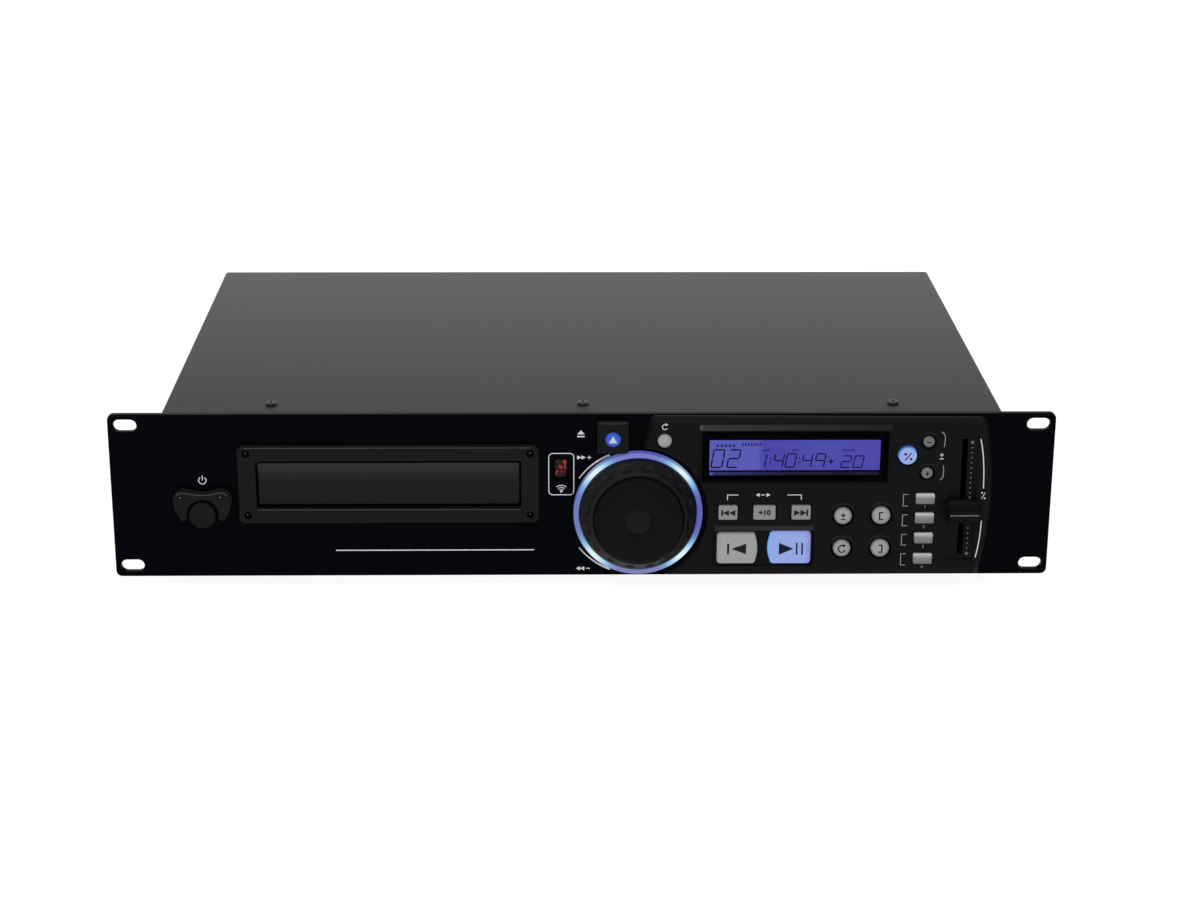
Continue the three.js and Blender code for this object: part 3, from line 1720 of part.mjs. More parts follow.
function makeClampBridge() {
  const sheet = block(
    trayCentreX - frameOuter,
    trayCentreX + frameOuter,
    spindleY - bridgeDepth / 2,
    spindleY + bridgeDepth / 2,
    bridgeBottom,
    bridgeTop,
  );
  const hole = post(
    clampNeckRadius + 2 * slideGap,
    bridgeBottom - cutOverrun,
    bridgeTop + cutOverrun,
    trayCentreX,
    spindleY,
    facets,
  );
  return cut(sheet, hole);
}

// Laser sled: carriage on the two rods, lens housing, and a rack on its right side
function makeLaserSled() {
  const x = trayCentreX;
  const bottom = sledRodZ - sledThickness / 2;
  const top = sledRodZ + sledThickness / 2;
  const front = sledY - sledHalfLength;
  const rear = sledY + sledHalfLength;
  const carriage = block(x - sledHalfWidth, x + sledHalfWidth, front, rear, bottom, top);
  const housing = post(lensHousingRadius, bottom, top + lensRise - lensRadius / 2, x, sledY);
  const lens = post(lensRadius, bottom, top + lensRise, x, sledY, tinyFacets);
  const bores = [-1, 1].map((side) =>
    rod(
      sledRodRadius + fitGap,
      front - cutOverrun,
      rear + cutOverrun,
      x + side * sledRodX,
      sledRodZ,
      tinyFacets,
    ),
  );
  const reach = sledGearPitchRadius + sledGearModule;
  const rack = slab(
    rackOutline(
      sledGearModule,
      sledRackPitchX,
      x + sledHalfWidth - cutOverrun,
      sledGearY - sledTravel - reach,
      sledGearY + reach,
      sledGearY,
    ),
    top - sledRackHeight,
    top,
  );
  const rackRoom = [
    [sledGearY - sledTravel - reach, front],
    [rear, sledGearY + reach],
  ].map(([start, end]) =>
    block(
      x,
      x + sledHalfWidth + slideGap,
      start - cutOverrun,
      end,
      top - sledRackHeight - cutOverrun,
      top + cutOverrun,
    ),
  );
  return cut(join(carriage, housing, lens, cut(rack, rackRoom)), bores);
}

function makeSledPinion() {
  const bore = sledAxleRadius + runningGap;
  const top = sledRodZ + sledThickness / 2;
  const bottom = top - sledRackHeight;
  const teeth = slab(gearOutline(sledGearModule, sledGearTeeth), bottom, top);
  const hub = post(bore + sheetThickness, deckTop + slideGap, bottom + cutOverrun, 0, 0);
  const room = post(bore, deckTop, top + cutOverrun, 0, 0);
  return cut(join(teeth, hub), room);
}

// Case

function makeChassisBase() {
  const floor = block(-baseHalfWidth, baseHalfWidth, wallFront, caseDepth, caseFloorRise, floorTop);
  const topHalf = baseHalfWidth - coverBendRadius;
  const wallHalf = baseHalfWidth - sheetThickness / 2;
  const wallOutline = [
    new THREE.Vector2(-wallHalf, caseFloorRise),
    new THREE.Vector2(wallHalf, caseFloorRise),
    new THREE.Vector2(wallHalf, wallTop - coverBendRadius),
    new THREE.Vector2(topHalf, wallTop),
    new THREE.Vector2(-topHalf, wallTop),
    new THREE.Vector2(-wallHalf, wallTop - coverBendRadius),
  ];
  const wall = plate(wallOutline, wallFront, wallBack);
  const flange = block(
    -topHalf,
    topHalf,
    wallFront,
    wallFront + topFlangeDepth,
    wallTop - sheetThickness,
    wallTop,
  );
  const innerHalf = baseHalfWidth - sheetThickness;
  const sides = [[-baseHalfWidth, -innerHalf], [innerHalf, baseHalfWidth]].map(([left, right]) =>
    block(left, right, wallFront, caseDepth, caseFloorRise, floorTop + sideFlangeHeight),
  );
  const window = (x0, x1, z0, z1) =>
    block(x0, x1, wallFront - cutOverrun, wallBack + cutOverrun, z0, z1);
  const trayWindow = window(
    trayCentreX - openingWidth / 2 - slideGap,
    trayCentreX + openingWidth / 2 + slideGap,
    trayCentreZ - openingHeight / 2 - slideGap,
    trayCentreZ + openingHeight / 2 + slideGap,
  );
  const windowTop = wallTop - sheetThickness - boardMargin;
  const keyWindow = window(
    fasciaLeft + keyWindowShares[0] * fasciaWidth,
    fasciaLeft + keyWindowShares[1] * fasciaWidth,
    floorTop + boardMargin,
    windowTop,
  );
  const flangeRoom = ejectFlange + slideGap;
  const ejectWindow = window(
    ejectX - ejectWidth / 2 - flangeRoom,
    ejectX + ejectWidth / 2 + flangeRoom,
    ejectZ - ejectHeight / 2 - flangeRoom,
    wallTop - sheetThickness,
  );
  const jogMode = fasciaPlace(jogModeShares);
  const hole = (radius, x, z) => rod(radius, wallFront - cutOverrun, wallBack + cutOverrun, x, z, facets);
  const holes = [
    hole(powerRadius + powerFlange + slideGap, powerX, powerZ),
    hole(hubFlangeRadius + fitGap, jogX, jogZ),
    hole(jogModeRadius + keyFlange, jogMode.x, jogMode.z),
    window(
      sensorX - sensorWidth / 2 - 2 * sensorFlange,
      sensorX + sensorWidth / 2 + 2 * sensorFlange,
      sensorZ - sensorHeight / 2 - 2 * sensorFlange,
      sensorZ + sensorHeight / 2 + 2 * sensorFlange,
    ),
  ];
  const flangeBottom = wallTop - sheetThickness;
  const screwHoles = coverScrewPlaces.map((x) =>
    post(coverScrewHoleRadius, flangeBottom - cutOverrun, wallTop + cutOverrun, x, coverScrewDepth),
  );
  return cut(join(floor, wall, flange, sides), trayWindow, keyWindow, ejectWindow, holes, screwHoles);
}

// Top cover: one sheet bent down over both sides
function makeTopCover() {
  const outline = (inset, radius) => {
    const half = caseWidth / 2 - inset;
    const top = caseTop - inset;
    return [
      new THREE.Vector2(-half, caseFloorRise),
      new THREE.Vector2(half, caseFloorRise),
      ...arc(half - radius, top - radius, radius, 0, 90, 3),
      ...arc(-half + radius, top - radius, radius, 90, 180, 3),
    ];
  };
  const outer = plate(outline(0, coverBendRadius), wallFront, caseDepth);
  const inner = plate(
    outline(sheetThickness, coverBendRadius - sheetThickness),
    wallFront - cutOverrun,
    caseDepth + cutOverrun,
  );
  const below = block(
    -caseWidth / 2 + sheetThickness,
    caseWidth / 2 - sheetThickness,
    wallFront - cutOverrun,
    caseDepth + cutOverrun,
    -cutOverrun,
    caseFloorRise + cutOverrun,
  );
  const screwHoles = coverScrewPlaces.map((x) =>
    post(coverScrewHoleRadius, coverInnerTop - cutOverrun, caseTop + cutOverrun, x, coverScrewDepth),
  );
  return cut(outer, inner, below, screwHoles);
}

function makeRearPanel() {
  const half = baseHalfWidth - fitGap - sheetThickness;
  const sheet = block(-half, half, caseDepth - sheetThickness, caseDepth, floorTop + fitGap, wallTop);
  const hole = (width, height, x, z) =>
    block(
      x - width / 2,
      x + width / 2,
      caseDepth - sheetThickness - cutOverrun,
      caseDepth + cutOverrun,
      z - height / 2,
      z + height / 2,
    );
  return cut(
    sheet,
    hole(inletBodyWidth + 2 * fitGap, inletBodyHeight + 2 * fitGap, inletX, inletZ),
    hole(jackBodyWidth + 2 * fitGap, jackBodyHeight + 2 * fitGap, jackX, jackZ),
  );
}

function makeFoot() {
  const top = caseFloorRise - fitGap;
  return solid(
    spun(
      [
        [0, top - footHeight],
        [footRadius - footTaper, top - footHeight],
        [footRadius, top - footTaper],
        [footRadius, top],
        [0, top],
      ],
      smallFacets,
    ),
  );
}

// Boards

function switchUnder(x, z) {
  const half = keySwitchSide / 2;
  return block(
    x - half,
    x + half,
    controlBoardY - keySwitchHeight,
    controlBoardY + boardThickness / 2,
    z - half,
    z + half,
  );
}

function makeControlBoard() {
  const left = jogX - lightRingRadius + boardMargin;
  const right = fasciaRight + boardMargin - sheetThickness;
  const bottom = floorTop + boardMargin / 2;
  const top = wallTop - sheetThickness - boardMargin / 2;
  const board = block(left, right, controlBoardY, controlBoardY + boardThickness, bottom, top);
  const nearWindow = fasciaLeft + keyWindowShares[0] * fasciaWidth - standoffRadius - fitGap;
  const standoffBack = controlBoardY + boardThickness / 2;
  const standoffs = [nearWindow, right - (3 * standoffRadius) / 2].flatMap((x) =>
    [bottom + 2 * standoffRadius, top - 2 * standoffRadius].map((z) =>
      rod(standoffRadius, wallBack + fitGap, standoffBack, x, z, tinyFacets),
    ),
  );
  const switches = keys.map((key) => switchUnder(key.x, key.z));
  return join(board, standoffs, switches, switchUnder(ejectX, ejectZ));
}

function makeMainBoard() {
  const left = trayCentreX + frameOuter + 3 * boardMargin;
  const right = baseHalfWidth - 4 * boardMargin;
  const front = caseDepth / 4;
  const back = caseDepth - 5 * boardMargin;
  const bottom = floorTop + mainBoardStandoff;
  const top = bottom + boardThickness;
  const board = block(left, right, front, back, bottom, top);
  const corners = [left + 2 * standoffRadius, right - 2 * standoffRadius].flatMap((x) =>
    [front + 2 * standoffRadius, back - 2 * standoffRadius].map((y) =>
      post(standoffRadius, floorTop + fitGap, bottom + boardThickness / 2, x, y, tinyFacets),
    ),
  );
  const width = right - left;
  const depth = back - front;
  const chips = chipShares.map(([acrossShare, alongShare, widthShare, depthShare]) => {
    const x = left + acrossShare * width;
    const y = front + alongShare * depth;
    const halfWidth = (widthShare * width) / 2;
    const halfDepth = (depthShare * depth) / 2;
    return block(x - halfWidth, x + halfWidth, y - halfDepth, y + halfDepth, bottom, top + chipHeight);
  });
  return join(board, corners, chips);
}

function makePowerSupply() {
  const left = -baseHalfWidth + 4 * boardMargin;
  const back = caseDepth - sheetThickness - supplyRearGap;
  const front = back - supplyDepth;
  const bottom = floorTop + mainBoardStandoff;
  const top = bottom + boardThickness;
  const right = left + supplyWidth;
  const board = block(left, right, front, back, bottom, top);
  const corners = [left + 2 * standoffRadius, right - 2 * standoffRadius].flatMap((x) =>
    [front + 2 * standoffRadius, back - 2 * standoffRadius].map((y) =>
      post(standoffRadius, floorTop + fitGap, bottom + boardThickness / 2, x, y, tinyFacets),
    ),
  );
  const margin = (supplyDepth - transformerDepth) / 2;
  const transformerRight = right - margin;
  const core = block(
    transformerRight - transformerWidth,
    transformerRight,
    front + margin,
    back - margin,
    bottom,
    top + transformerHeight * transformerCoreShare,
  );
  const winding = block(
    transformerRight - transformerWidth * windingShares[1],
    transformerRight - transformerWidth * windingShares[0],
    front + margin / 3,
    back - margin / 3,
    bottom,
    top + transformerHeight,
  );
  const capacitors = capacitorPlaceShares.map((share) =>
    post(
      capacitorRadius,
      bottom,
      top + capacitorHeight,
      transformerRight - transformerWidth - share * capacitorRadius,
      front + capacitorPlaceShares[0] * capacitorRadius,
    ),
  );
  return join(board, corners, core, winding, capacitors);
}

// Rear connectors

function makeMainsInlet() {
  const back = caseDepth + fitGap;
  const flange = plate(
    rectangle(inletFlangeWidth, inletFlangeHeight, inletFlangeThickness),
    back,
    back + inletFlangeThickness,
  );
  const body = block(
    -inletBodyWidth / 2,
    inletBodyWidth / 2,
    back - inletBodyDepth,
    back + inletFlangeThickness / 2,
    -inletBodyHeight / 2,
    inletBodyHeight / 2,
  );
  const socket = plate(
    rectangle(inletSocketWidth, inletSocketHeight, inletFlangeThickness),
    back + inletFlangeThickness - inletSocketDepth,
    back + inletFlangeThickness + cutOverrun,
  );
  const pins = [-1, 0, 1].map((place) =>
    block(
      place * inletPinSpacing - inletPinWidth / 2,
      place * inletPinSpacing + inletPinWidth / 2,
      back + inletFlangeThickness - inletSocketDepth - cutOverrun,
      back + inletFlangeThickness - inletSocketDepth / 4,
      inletPinHeight / 2,
      (3 * inletPinHeight) / 2,
    ),
  );
  return join(cut(join(flange, body), socket), pins);
}

const jackBodyWidth = jackSpacing * jackCount - jackSpacing / 4;
const jackBodyHeight = 3 * jackRadius;

function makeOutputJacks() {
  const back = caseDepth + fitGap;
  const face = back + jackPlateThickness;
  const shell = join(
    block(-jackPlateWidth / 2, jackPlateWidth / 2, back, face, -jackPlateHeight / 2, jackPlateHeight / 2),
    block(
      -jackBodyWidth / 2,
      jackBodyWidth / 2,
      back - jackBodyDepth,
      back + jackPlateThickness / 2,
      -jackBodyHeight / 2,
      jackBodyHeight / 2,
    ),
  );
  const places = [];
  for (let i = 0; i < jackCount; i += 1) places.push((i - (jackCount - 1) / 2) * jackSpacing);
  const sleeves = places.map((x) => rod(jackRadius, back, face + jackLength, x, 0));
  const bores = places.map((x) => rod(jackBore, back, face + jackLength + cutOverrun, x, 0, tinyFacets));
  return cut(join(shell, sleeves), bores);
}

// Materials

function finish(colour, roughness, metalness) {
  return new THREE.MeshStandardMaterial({ color: colour, roughness, metalness });
}

const finishes = {
  panelBlack: finish(0x07080c, 0.32, 0.3),
  coverPaint: finish(0x2c2d30, 0.55, 0.3),
  fasciaPlastic: finish(0x191a1d, 0.62, 0),
  bezelPlastic: finish(0x1a1b1c, 0.55, 0),
  blackPlastic: finish(0x141516, 0.5, 0),
  dialPlastic: finish(0x1b1c1f, 0.7, 0),
  ringGlow: finish(0x6f73e8, 0.3, 0),
  smokedPane: finish(0x080812, 0.12, 0),
  screenGlow: finish(0x5850c8, 0.4, 0),
  keyGrey: finish(0xa5a7aa, 0.5, 0),
  keyGlow: finish(0xaab0ff, 0.4, 0),
  ejectGlow: finish(0x3a72e8, 0.3, 0),
  sensorRed: finish(0x3a0a08, 0.2, 0),
  rubber: finish(0x101010, 0.9, 0),
  zincSheet: finish(0x9a9ca0, 0.4, 0.8),
  steel: finish(0xb4b6ba, 0.3, 0.9),
  boardGreen: finish(0x14422a, 0.5, 0),
  whitePlastic: finish(0xd8d8d2, 0.5, 0),
  connectorBlack: finish(0x0e0e10, 0.45, 0),
};

// Assembly

const player = new THREE.Group();

function addPiece(name, manifold, material, place = [0, 0, 0]) {
  const mesh = new THREE.Mesh(geometryOf(manifold), material);
  mesh.name = name;
  mesh.position.set(...place);
  player.add(mesh);
}

addPiece('front_panel', makeFrontPanel(), finishes.panelBlack);
addPiece('control_fascia', makeControlFascia(), finishes.fasciaPlastic);
addPiece('tray_bezel', makeTrayBezel(), finishes.bezelPlastic, [trayCentreX, 0, trayCentreZ]);
addPiece('top_cover', makeTopCover(), finishes.coverPaint);
addPiece('chassis_base', makeChassisBase(), finishes.zincSheet);
addPiece('rear_panel', makeRearPanel(), finishes.coverPaint);
for (const [side, sideName] of [[-1, 'left'], [1, 'right']]) {
  const x = side * (caseWidth / 2 - footInsetX);
  addPiece(`foot_front_${sideName}`, makeFoot(), finishes.rubber, [x, footInsetY, 0]);
  addPiece(`foot_rear_${sideName}`, makeFoot(), finishes.rubber, [x, caseDepth - footInsetY, 0]);
}
addPiece('power_guard', makePowerGuard(), finishes.blackPlastic, [powerX, 0, powerZ]);
addPiece('power_button', makePowerButton(), finishes.blackPlastic, [powerX, 0, powerZ]);
addPiece('power_switch', makePowerSwitch(), finishes.connectorBlack, [powerX, 0, powerZ]);
addPiece('eject_button', makeEjectButton(), finishes.blackPlastic, [ejectX, 0, ejectZ]);
addPiece('eject_lens', makeEjectLens(), finishes.ejectGlow, [ejectX, 0, ejectZ]);
addPiece('sensor_window', makeSensorWindow(), finishes.sensorRed, [sensorX, 0, sensorZ]);
addPiece('jog_light_ring', makeLightRing(), finishes.ringGlow, [jogX, 0, jogZ]);
addPiece('shuttle_ring', makeShuttleRing(), finishes.dialPlastic, [jogX, 0, jogZ]);
addPiece('jog_dial', makeJogDial(), finishes.dialPlastic, [jogX, 0, jogZ]);
addPiece('jog_hub', makeJogHub(), finishes.connectorBlack, [jogX, 0, jogZ]);
addPiece('lcd_window', makeLcdWindow(), finishes.smokedPane, [lcdPlace.x, 0, lcdPlace.z]);
addPiece('lcd_module', makeLcdModule(), finishes.screenGlow, [lcdPlace.x, 0, lcdPlace.z]);
for (const key of keys) {
  const lit = key.name === 'key_play_pause' || key.name === 'key_pitch_lock';
  addPiece(key.name, makeKey(key), lit ? finishes.keyGlow : finishes.keyGrey, [key.x, 0, key.z]);
}
addPiece('pitch_fader_knob', makeFaderKnob(), finishes.blackPlastic, [faderX, 0, faderRestZ]);
addPiece('pitch_fader_body', makeFaderBody(), finishes.steel, [faderX, 0, faderSlotMiddle]);
addPiece('tray_front', makeTrayFront(), finishes.bezelPlastic, [trayCentreX, 0, trayCentreZ]);
addPiece('disc_tray', makeDiscTray(), finishes.blackPlastic);
addPiece('loader_frame', makeLoaderFrame(), finishes.blackPlastic);
addPiece('tray_drive_gear', makeDriveGear(), finishes.whitePlastic, [driveGearX, driveGearY, 0]);
addPiece('loader_motor', makeLoaderMotor(), finishes.steel, [motorX, driveGearY, 0]);
addPiece('motor_pulley', makeMotorPulley(), finishes.whitePlastic, [motorX, driveGearY, 0]);
addPiece('drive_belt', makeDriveBelt(), finishes.rubber, [driveGearX, driveGearY, 0]);
addPiece('traverse_deck', makeTraverseDeck(), finishes.zincSheet);
addPiece('spindle_motor', makeSpindleMotor(), finishes.steel, [trayCentreX, spindleY, 0]);
addPiece('turntable', makeTurntable(), finishes.blackPlastic, [trayCentreX, spindleY, 0]);
addPiece('disc_clamp', makeDiscClamp(), finishes.whitePlastic, [trayCentreX, spindleY, 0]);
addPiece('clamp_bridge', makeClampBridge(), finishes.zincSheet);
addPiece('laser_sled', makeLaserSled(), finishes.blackPlastic);
addPiece('sled_pinion', makeSledPinion(), finishes.whitePlastic, [sledGearX, sledGearY, 0]);
addPiece('main_board', makeMainBoard(), finishes.boardGreen);
addPiece('control_board', makeControlBoard(), finishes.boardGreen);
addPiece('power_supply', makePowerSupply(), finishes.boardGreen);
addPiece('output_jacks', makeOutputJacks(), finishes.connectorBlack, [jackX, 0, jackZ]);
addPiece('mains_inlet', makeMainsInlet(), finishes.connectorBlack, [inletX, 0, inletZ]);

// The origin goes to the middle of the footprint, on the surface under the feet
const extent = new THREE.Box3().setFromObject(player);
const middle = extent.getCenter(new THREE.Vector3());
for (const piece of player.children) {
  piece.position.x -= middle.x;
  piece.position.y -= middle.y;
  piece.position.z -= extent.min.z;
}

export default player;
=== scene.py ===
# %% [markdown]
# # A rack-mount disc player with a jog dial
#
# The real thing is a black steel front, two rack units high, with a folded sheet-steel case behind it. A moulded
# panel of keys, a lit display and a big jog dial sit on the right, and a disc tray slides out on the left.
#
# The exact solids were made beforehand in a CAD program, so this script loads them first. Everything that moves or
# carries load is already there, in metres, in the place where it belongs. What is made here is what a camera sees:
# rounded edges, dished key holes, finger dimples, printed marks, screws and the finishes.

# %% Load the solids that everything is built around
import json
import math

import bmesh
import bpy
from mathutils import Matrix, Vector


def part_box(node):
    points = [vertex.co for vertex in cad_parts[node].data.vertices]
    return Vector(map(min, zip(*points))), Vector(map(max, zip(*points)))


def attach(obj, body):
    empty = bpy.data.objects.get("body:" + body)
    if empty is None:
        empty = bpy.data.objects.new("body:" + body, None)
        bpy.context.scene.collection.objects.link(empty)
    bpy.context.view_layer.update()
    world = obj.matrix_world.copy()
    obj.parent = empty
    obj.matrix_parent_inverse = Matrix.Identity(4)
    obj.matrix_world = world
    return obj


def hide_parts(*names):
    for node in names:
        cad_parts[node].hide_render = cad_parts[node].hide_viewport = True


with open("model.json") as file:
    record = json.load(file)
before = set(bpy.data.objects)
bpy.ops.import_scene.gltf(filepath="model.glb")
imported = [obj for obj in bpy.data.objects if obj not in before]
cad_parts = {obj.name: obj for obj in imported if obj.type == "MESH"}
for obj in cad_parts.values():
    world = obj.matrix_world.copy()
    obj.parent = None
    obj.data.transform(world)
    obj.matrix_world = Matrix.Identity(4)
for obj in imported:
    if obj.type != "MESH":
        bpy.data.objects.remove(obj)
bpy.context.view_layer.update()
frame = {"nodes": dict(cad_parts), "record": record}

# %% [markdown]
# ## One ruler for the whole front
#
# A maker measures a front panel from its lower edge and its front face, in millimetres. Thinking in the same way
# keeps every number short. So each piece is drawn in panel millimetres, x to the right, y to the rear and z up,
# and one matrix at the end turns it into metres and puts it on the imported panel. Its inverse reads the places and
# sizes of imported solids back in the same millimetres.

# %% The matrix from panel millimetres to metres
MM = 0.001
panel_low, panel_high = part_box("front_panel")
to_metres = Matrix.Translation((0, panel_low.y, panel_low.z)) @ Matrix.Scale(MM, 4)
panel_half = panel_high.x / MM
panel_height = (panel_high.z - panel_low.z) / MM


def panel_box(node):
    low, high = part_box(node)
    to_panel = to_metres.inverted()
    return to_panel @ low, to_panel @ high


def middle(node):
    low, high = panel_box(node)
    return (low + high) / 2


print("panel:", round(2 * panel_half, 1), "x", round(panel_height, 1), "mm")

# %% [markdown]
# ## The camera
#
# A product photograph of a flat, wide thing is taken from well back with a long lens, so its lines stay nearly
# parallel. The place and the tilt below came from fitting a camera to the corners of the panel and of the case.
# The camera needs no tracking tool: three directions written as the columns of a matrix say how it is turned.

# %% Put the camera where the photographer stood
camera_place = Vector((-16.37, -1203.84, 490.88))
look_aside, look_down, tilt = 0.02072, 0.33729, 0.00473
forward = Vector((
    math.sin(look_aside) * math.cos(look_down),
    math.cos(look_aside) * math.cos(look_down),
    -math.sin(look_down),
))
level_right = Vector((math.cos(look_aside), -math.sin(look_aside), 0))
level_up = level_right.cross(forward)
camera_right = math.cos(tilt) * level_right + math.sin(tilt) * level_up
camera_up = math.cos(tilt) * level_up - math.sin(tilt) * level_right
lens_data = bpy.data.cameras.new("camera")
lens_data.sensor_width = 36
lens_data.lens = 74.99
camera = bpy.data.objects.new("camera", lens_data)
turned = Matrix((camera_right, camera_up, -forward)).transposed().to_4x4()
camera.matrix_world = Matrix.Translation(to_metres @ camera_place) @ turned
bpy.context.scene.collection.objects.link(camera)
bpy.context.scene.camera = camera
print("camera at", [round(v, 3) for v in camera.matrix_world.translation])

# %% [markdown]
# ## Shader maths that reads like maths
#
# A procedural finish is a small sum: some noise, times an amount, plus a colour. Wired by hand, each plus sign is
# a node and two links. The class below wraps one socket and teaches it to add and multiply, so a finish can be
# written as a formula, and every formula still ends up as ordinary nodes that can be opened in the editor.

# %% A socket that can be added and multiplied
class Socket:
    def __init__(self, tree, output):
        self.tree = tree
        self.output = output

    def node(self, kind, settings=None, inputs=None, output=0):
        made = self.tree.nodes.new(kind)
        for name, value in (settings or {}).items():
            if name == "stops":
                fill_ramp(made.color_ramp.elements, value)
            else:
                setattr(made, name, value)
        for name, value in (inputs or {}).items():
            plug(self.tree, made.inputs[name], value)
        return Socket(self.tree, made.outputs[output])

    def maths(self, operation, first, second=0.0):
        return self.node("ShaderNodeMath", {"operation": operation}, {0: first, 1: second})

    def __add__(self, other):
        return self.maths("ADD", self, other)

    def __radd__(self, other):
        return self.maths("ADD", other, self)

    def __sub__(self, other):
        return self.maths("SUBTRACT", self, other)

    def __rsub__(self, other):
        return self.maths("SUBTRACT", other, self)

    def __mul__(self, other):
        return self.maths("MULTIPLY", self, other)

    def __rmul__(self, other):
        return self.maths("MULTIPLY", other, self)

    def above(self, edge):
        return self.maths("GREATER_THAN", self, edge)

    def clipped(self):
        return self.node("ShaderNodeClamp", {}, {"Value": self})

    def part(self, letter):
        return self.node("ShaderNodeSeparateXYZ", {}, {0: self}, "XYZ".index(letter))

    def moved(self, offset=(0, 0, 0), stretch=(1, 1, 1)):
        return self.node("ShaderNodeMapping", {}, {"Vector": self, "Location": offset, "Scale": stretch})

    def noise(self, size, detail=2.0):
        return self.node("ShaderNodeTexNoise", {}, {"Vector": self, "Scale": 1 / size, "Detail": detail})

    def mixed(self, first, second):
        return self.node("ShaderNodeMix", {"data_type": "RGBA"}, {0: self, 6: first, 7: second}, 2)

    def looked_up(self, stops):
        return self.node("ShaderNodeValToRGB", {"stops": stops}, {0: self})

    def bump(self, depth, strength=0.5):
        return self.node("ShaderNodeBump", {}, {"Strength": strength, "Distance": depth * MM, "Height": self})


def fill_ramp(ramp, stops):
    for share, _ in stops[1:-1]:
        ramp.new(share)
    for element, (share, colour) in zip(ramp, stops):
        element.position = share
        element.color = (*colour, 1)


def plug(tree, socket, value):
    if isinstance(value, Socket):
        tree.links.new(value.output, socket)
    elif socket.type == "RGBA" and len(value) == 3:
        socket.default_value = (*value, 1)
    else:
        socket.default_value = value


print("socket class ready")

# %% [markdown]
# ## The usual recipe for a moulded or painted surface
#
# Black plastic is never one flat black. The mould leaves a fine grain, handling changes the gloss in soft patches,
# and the colour drifts a little. One recipe covers most parts here: a base colour with a slow drift, a roughness
# with slow patches, and a bump from fine grain. Only the numbers change from finish to finish. Object coordinates
# are in metres, so a Mapping node turns them into panel millimetres first. Grain sizes, and the places of paler
# spots, can then be given with the same ruler as the shapes.

# %% A recipe for plain finishes
def new_finish(name):
    material = bpy.data.materials.new(name)
    material.use_nodes = True
    tree = material.node_tree
    here = Socket(tree, tree.nodes.new("ShaderNodeTexCoord").outputs["Object"])
    place = here.moved(offset=(0, -panel_low.y / MM, -panel_low.z / MM), stretch=(1 / MM, 1 / MM, 1 / MM))
    return material, tree.nodes["Principled BSDF"], place


def set_shader(shader, **values):
    for name, value in values.items():
        plug(shader.id_data, shader.inputs[name.replace("_", " ")], value)


def grained(name, colour, roughness, grain, depth, drift=0.12, **fixed):
    material, shader, place = new_finish(name)
    darker = tuple(channel * (1 - drift) for channel in colour)
    lighter = tuple(channel * (1 + drift) for channel in colour)
    base = place.noise(35.0).mixed(darker, lighter)
    set_shader(shader, Base_Color=base, Normal=place.noise(grain, 3.0).bump(depth), **fixed)
    set_shader(shader, Roughness=roughness - 0.05 + 0.1 * place.noise(14.0))
    return material


def grey(tone):
    return tone, tone, tone


def key_finish(name, tone):
    return grained(name, grey(tone), 0.42, 0.22, 0.02, 0.04, Specular_IOR_Level=0.3)


print("recipes for plain finishes and for keys ready")

# %% [markdown]
# Some mouldings get painted highlights: their sides and some sloped faces are painted paler where they would
# catch the light. For those, the colour that a finish already has is read back, mixed with a paler one by a mask, and
# plugged in again.

# %% Read a finish's colour back and change it
def base_of(material):
    tree = material.node_tree
    colour = tree.nodes["Principled BSDF"].inputs["Base Color"]
    return Socket(tree, tree.nodes["Mapping"].outputs[0]), Socket(tree, colour.links[0].from_socket)


def recolour(material, tone):
    set_shader(material.node_tree.nodes["Principled BSDF"], Base_Color=tone)


def paler_sides(material, front, paler):
    # Painted highlight: the sides behind the front face are paler
    place, plain = base_of(material)
    depth = ((place.part("Y") - front) * 2.0).clipped()
    recolour(material, depth.mixed(plain, paler))


def from_centre(place, x, z):
    aside, up = place.part("X") - x, place.part("Z") - z
    return aside, up, place.maths("SQRT", aside * aside + up * up)


def between(value, low, high, low_slope=1.5, high_slope=1.5):
    return ((value - low) * low_slope).clipped() * ((high - value) * high_slope).clipped()


print("masks ready")

# %% [markdown]
# Black parts need colours far darker than they look by eye, because the bright surround adds its own sheen. The
# low specular levels keep that sheen down, as the photographer's flags did.

# %% The plain finishes of this player
panel_paint = grained("panel_paint", (0.0007, 0.0009, 0.0020), 0.24, 0.6, 0.008, Specular_IOR_Level=0.018)
fascia_colour = (0.0036, 0.0039, 0.0046)
fascia_moulding = grained("fascia_moulding", fascia_colour, 0.5, 0.3, 0.04, Specular_IOR_Level=0.06)
frame_moulding = grained("frame_moulding", (0.0050, 0.0060, 0.0055), 0.45, 0.3, 0.03, Specular_IOR_Level=0.07)
moulded_black = grained("moulded_black", (0.0056, 0.0058, 0.0064), 0.42, 0.3, 0.03, Specular_IOR_Level=0.08)
dial_rubber = grained("dial_rubber", (0.0040, 0.0043, 0.0051), 0.6, 0.35, 0.04, Specular_IOR_Level=0.05)
ring_plastic = grained("ring_plastic", (0.0088, 0.0088, 0.0086), 0.42, 0.35, 0.03, Specular_IOR_Level=0.1)
screw_black = grained("screw_black", (0.004, 0.004, 0.0045), 0.28, 0.2, 0.02, Specular_IOR_Level=0.3)
mask_black = grained("mask_black", (0.0009, 0.0009, 0.0015), 0.35, 0.4, 0.01, Specular_IOR_Level=0.01)
deep_black = grained("deep_black", (0.0006, 0.0006, 0.0012), 0.5, 0.4, 0.01, Specular_IOR_Level=0.02)
key_plastic = key_finish("key_plastic", 0.315)
key_darker = key_finish("key_darker", 0.225)
foot_rubber = grained("foot_rubber", grey(0.012), 0.82, 0.5, 0.08, Specular_IOR_Level=0.25)
nylon = grained("nylon", (0.68, 0.67, 0.62), 0.5, 0.4, 0.02, 0.05)
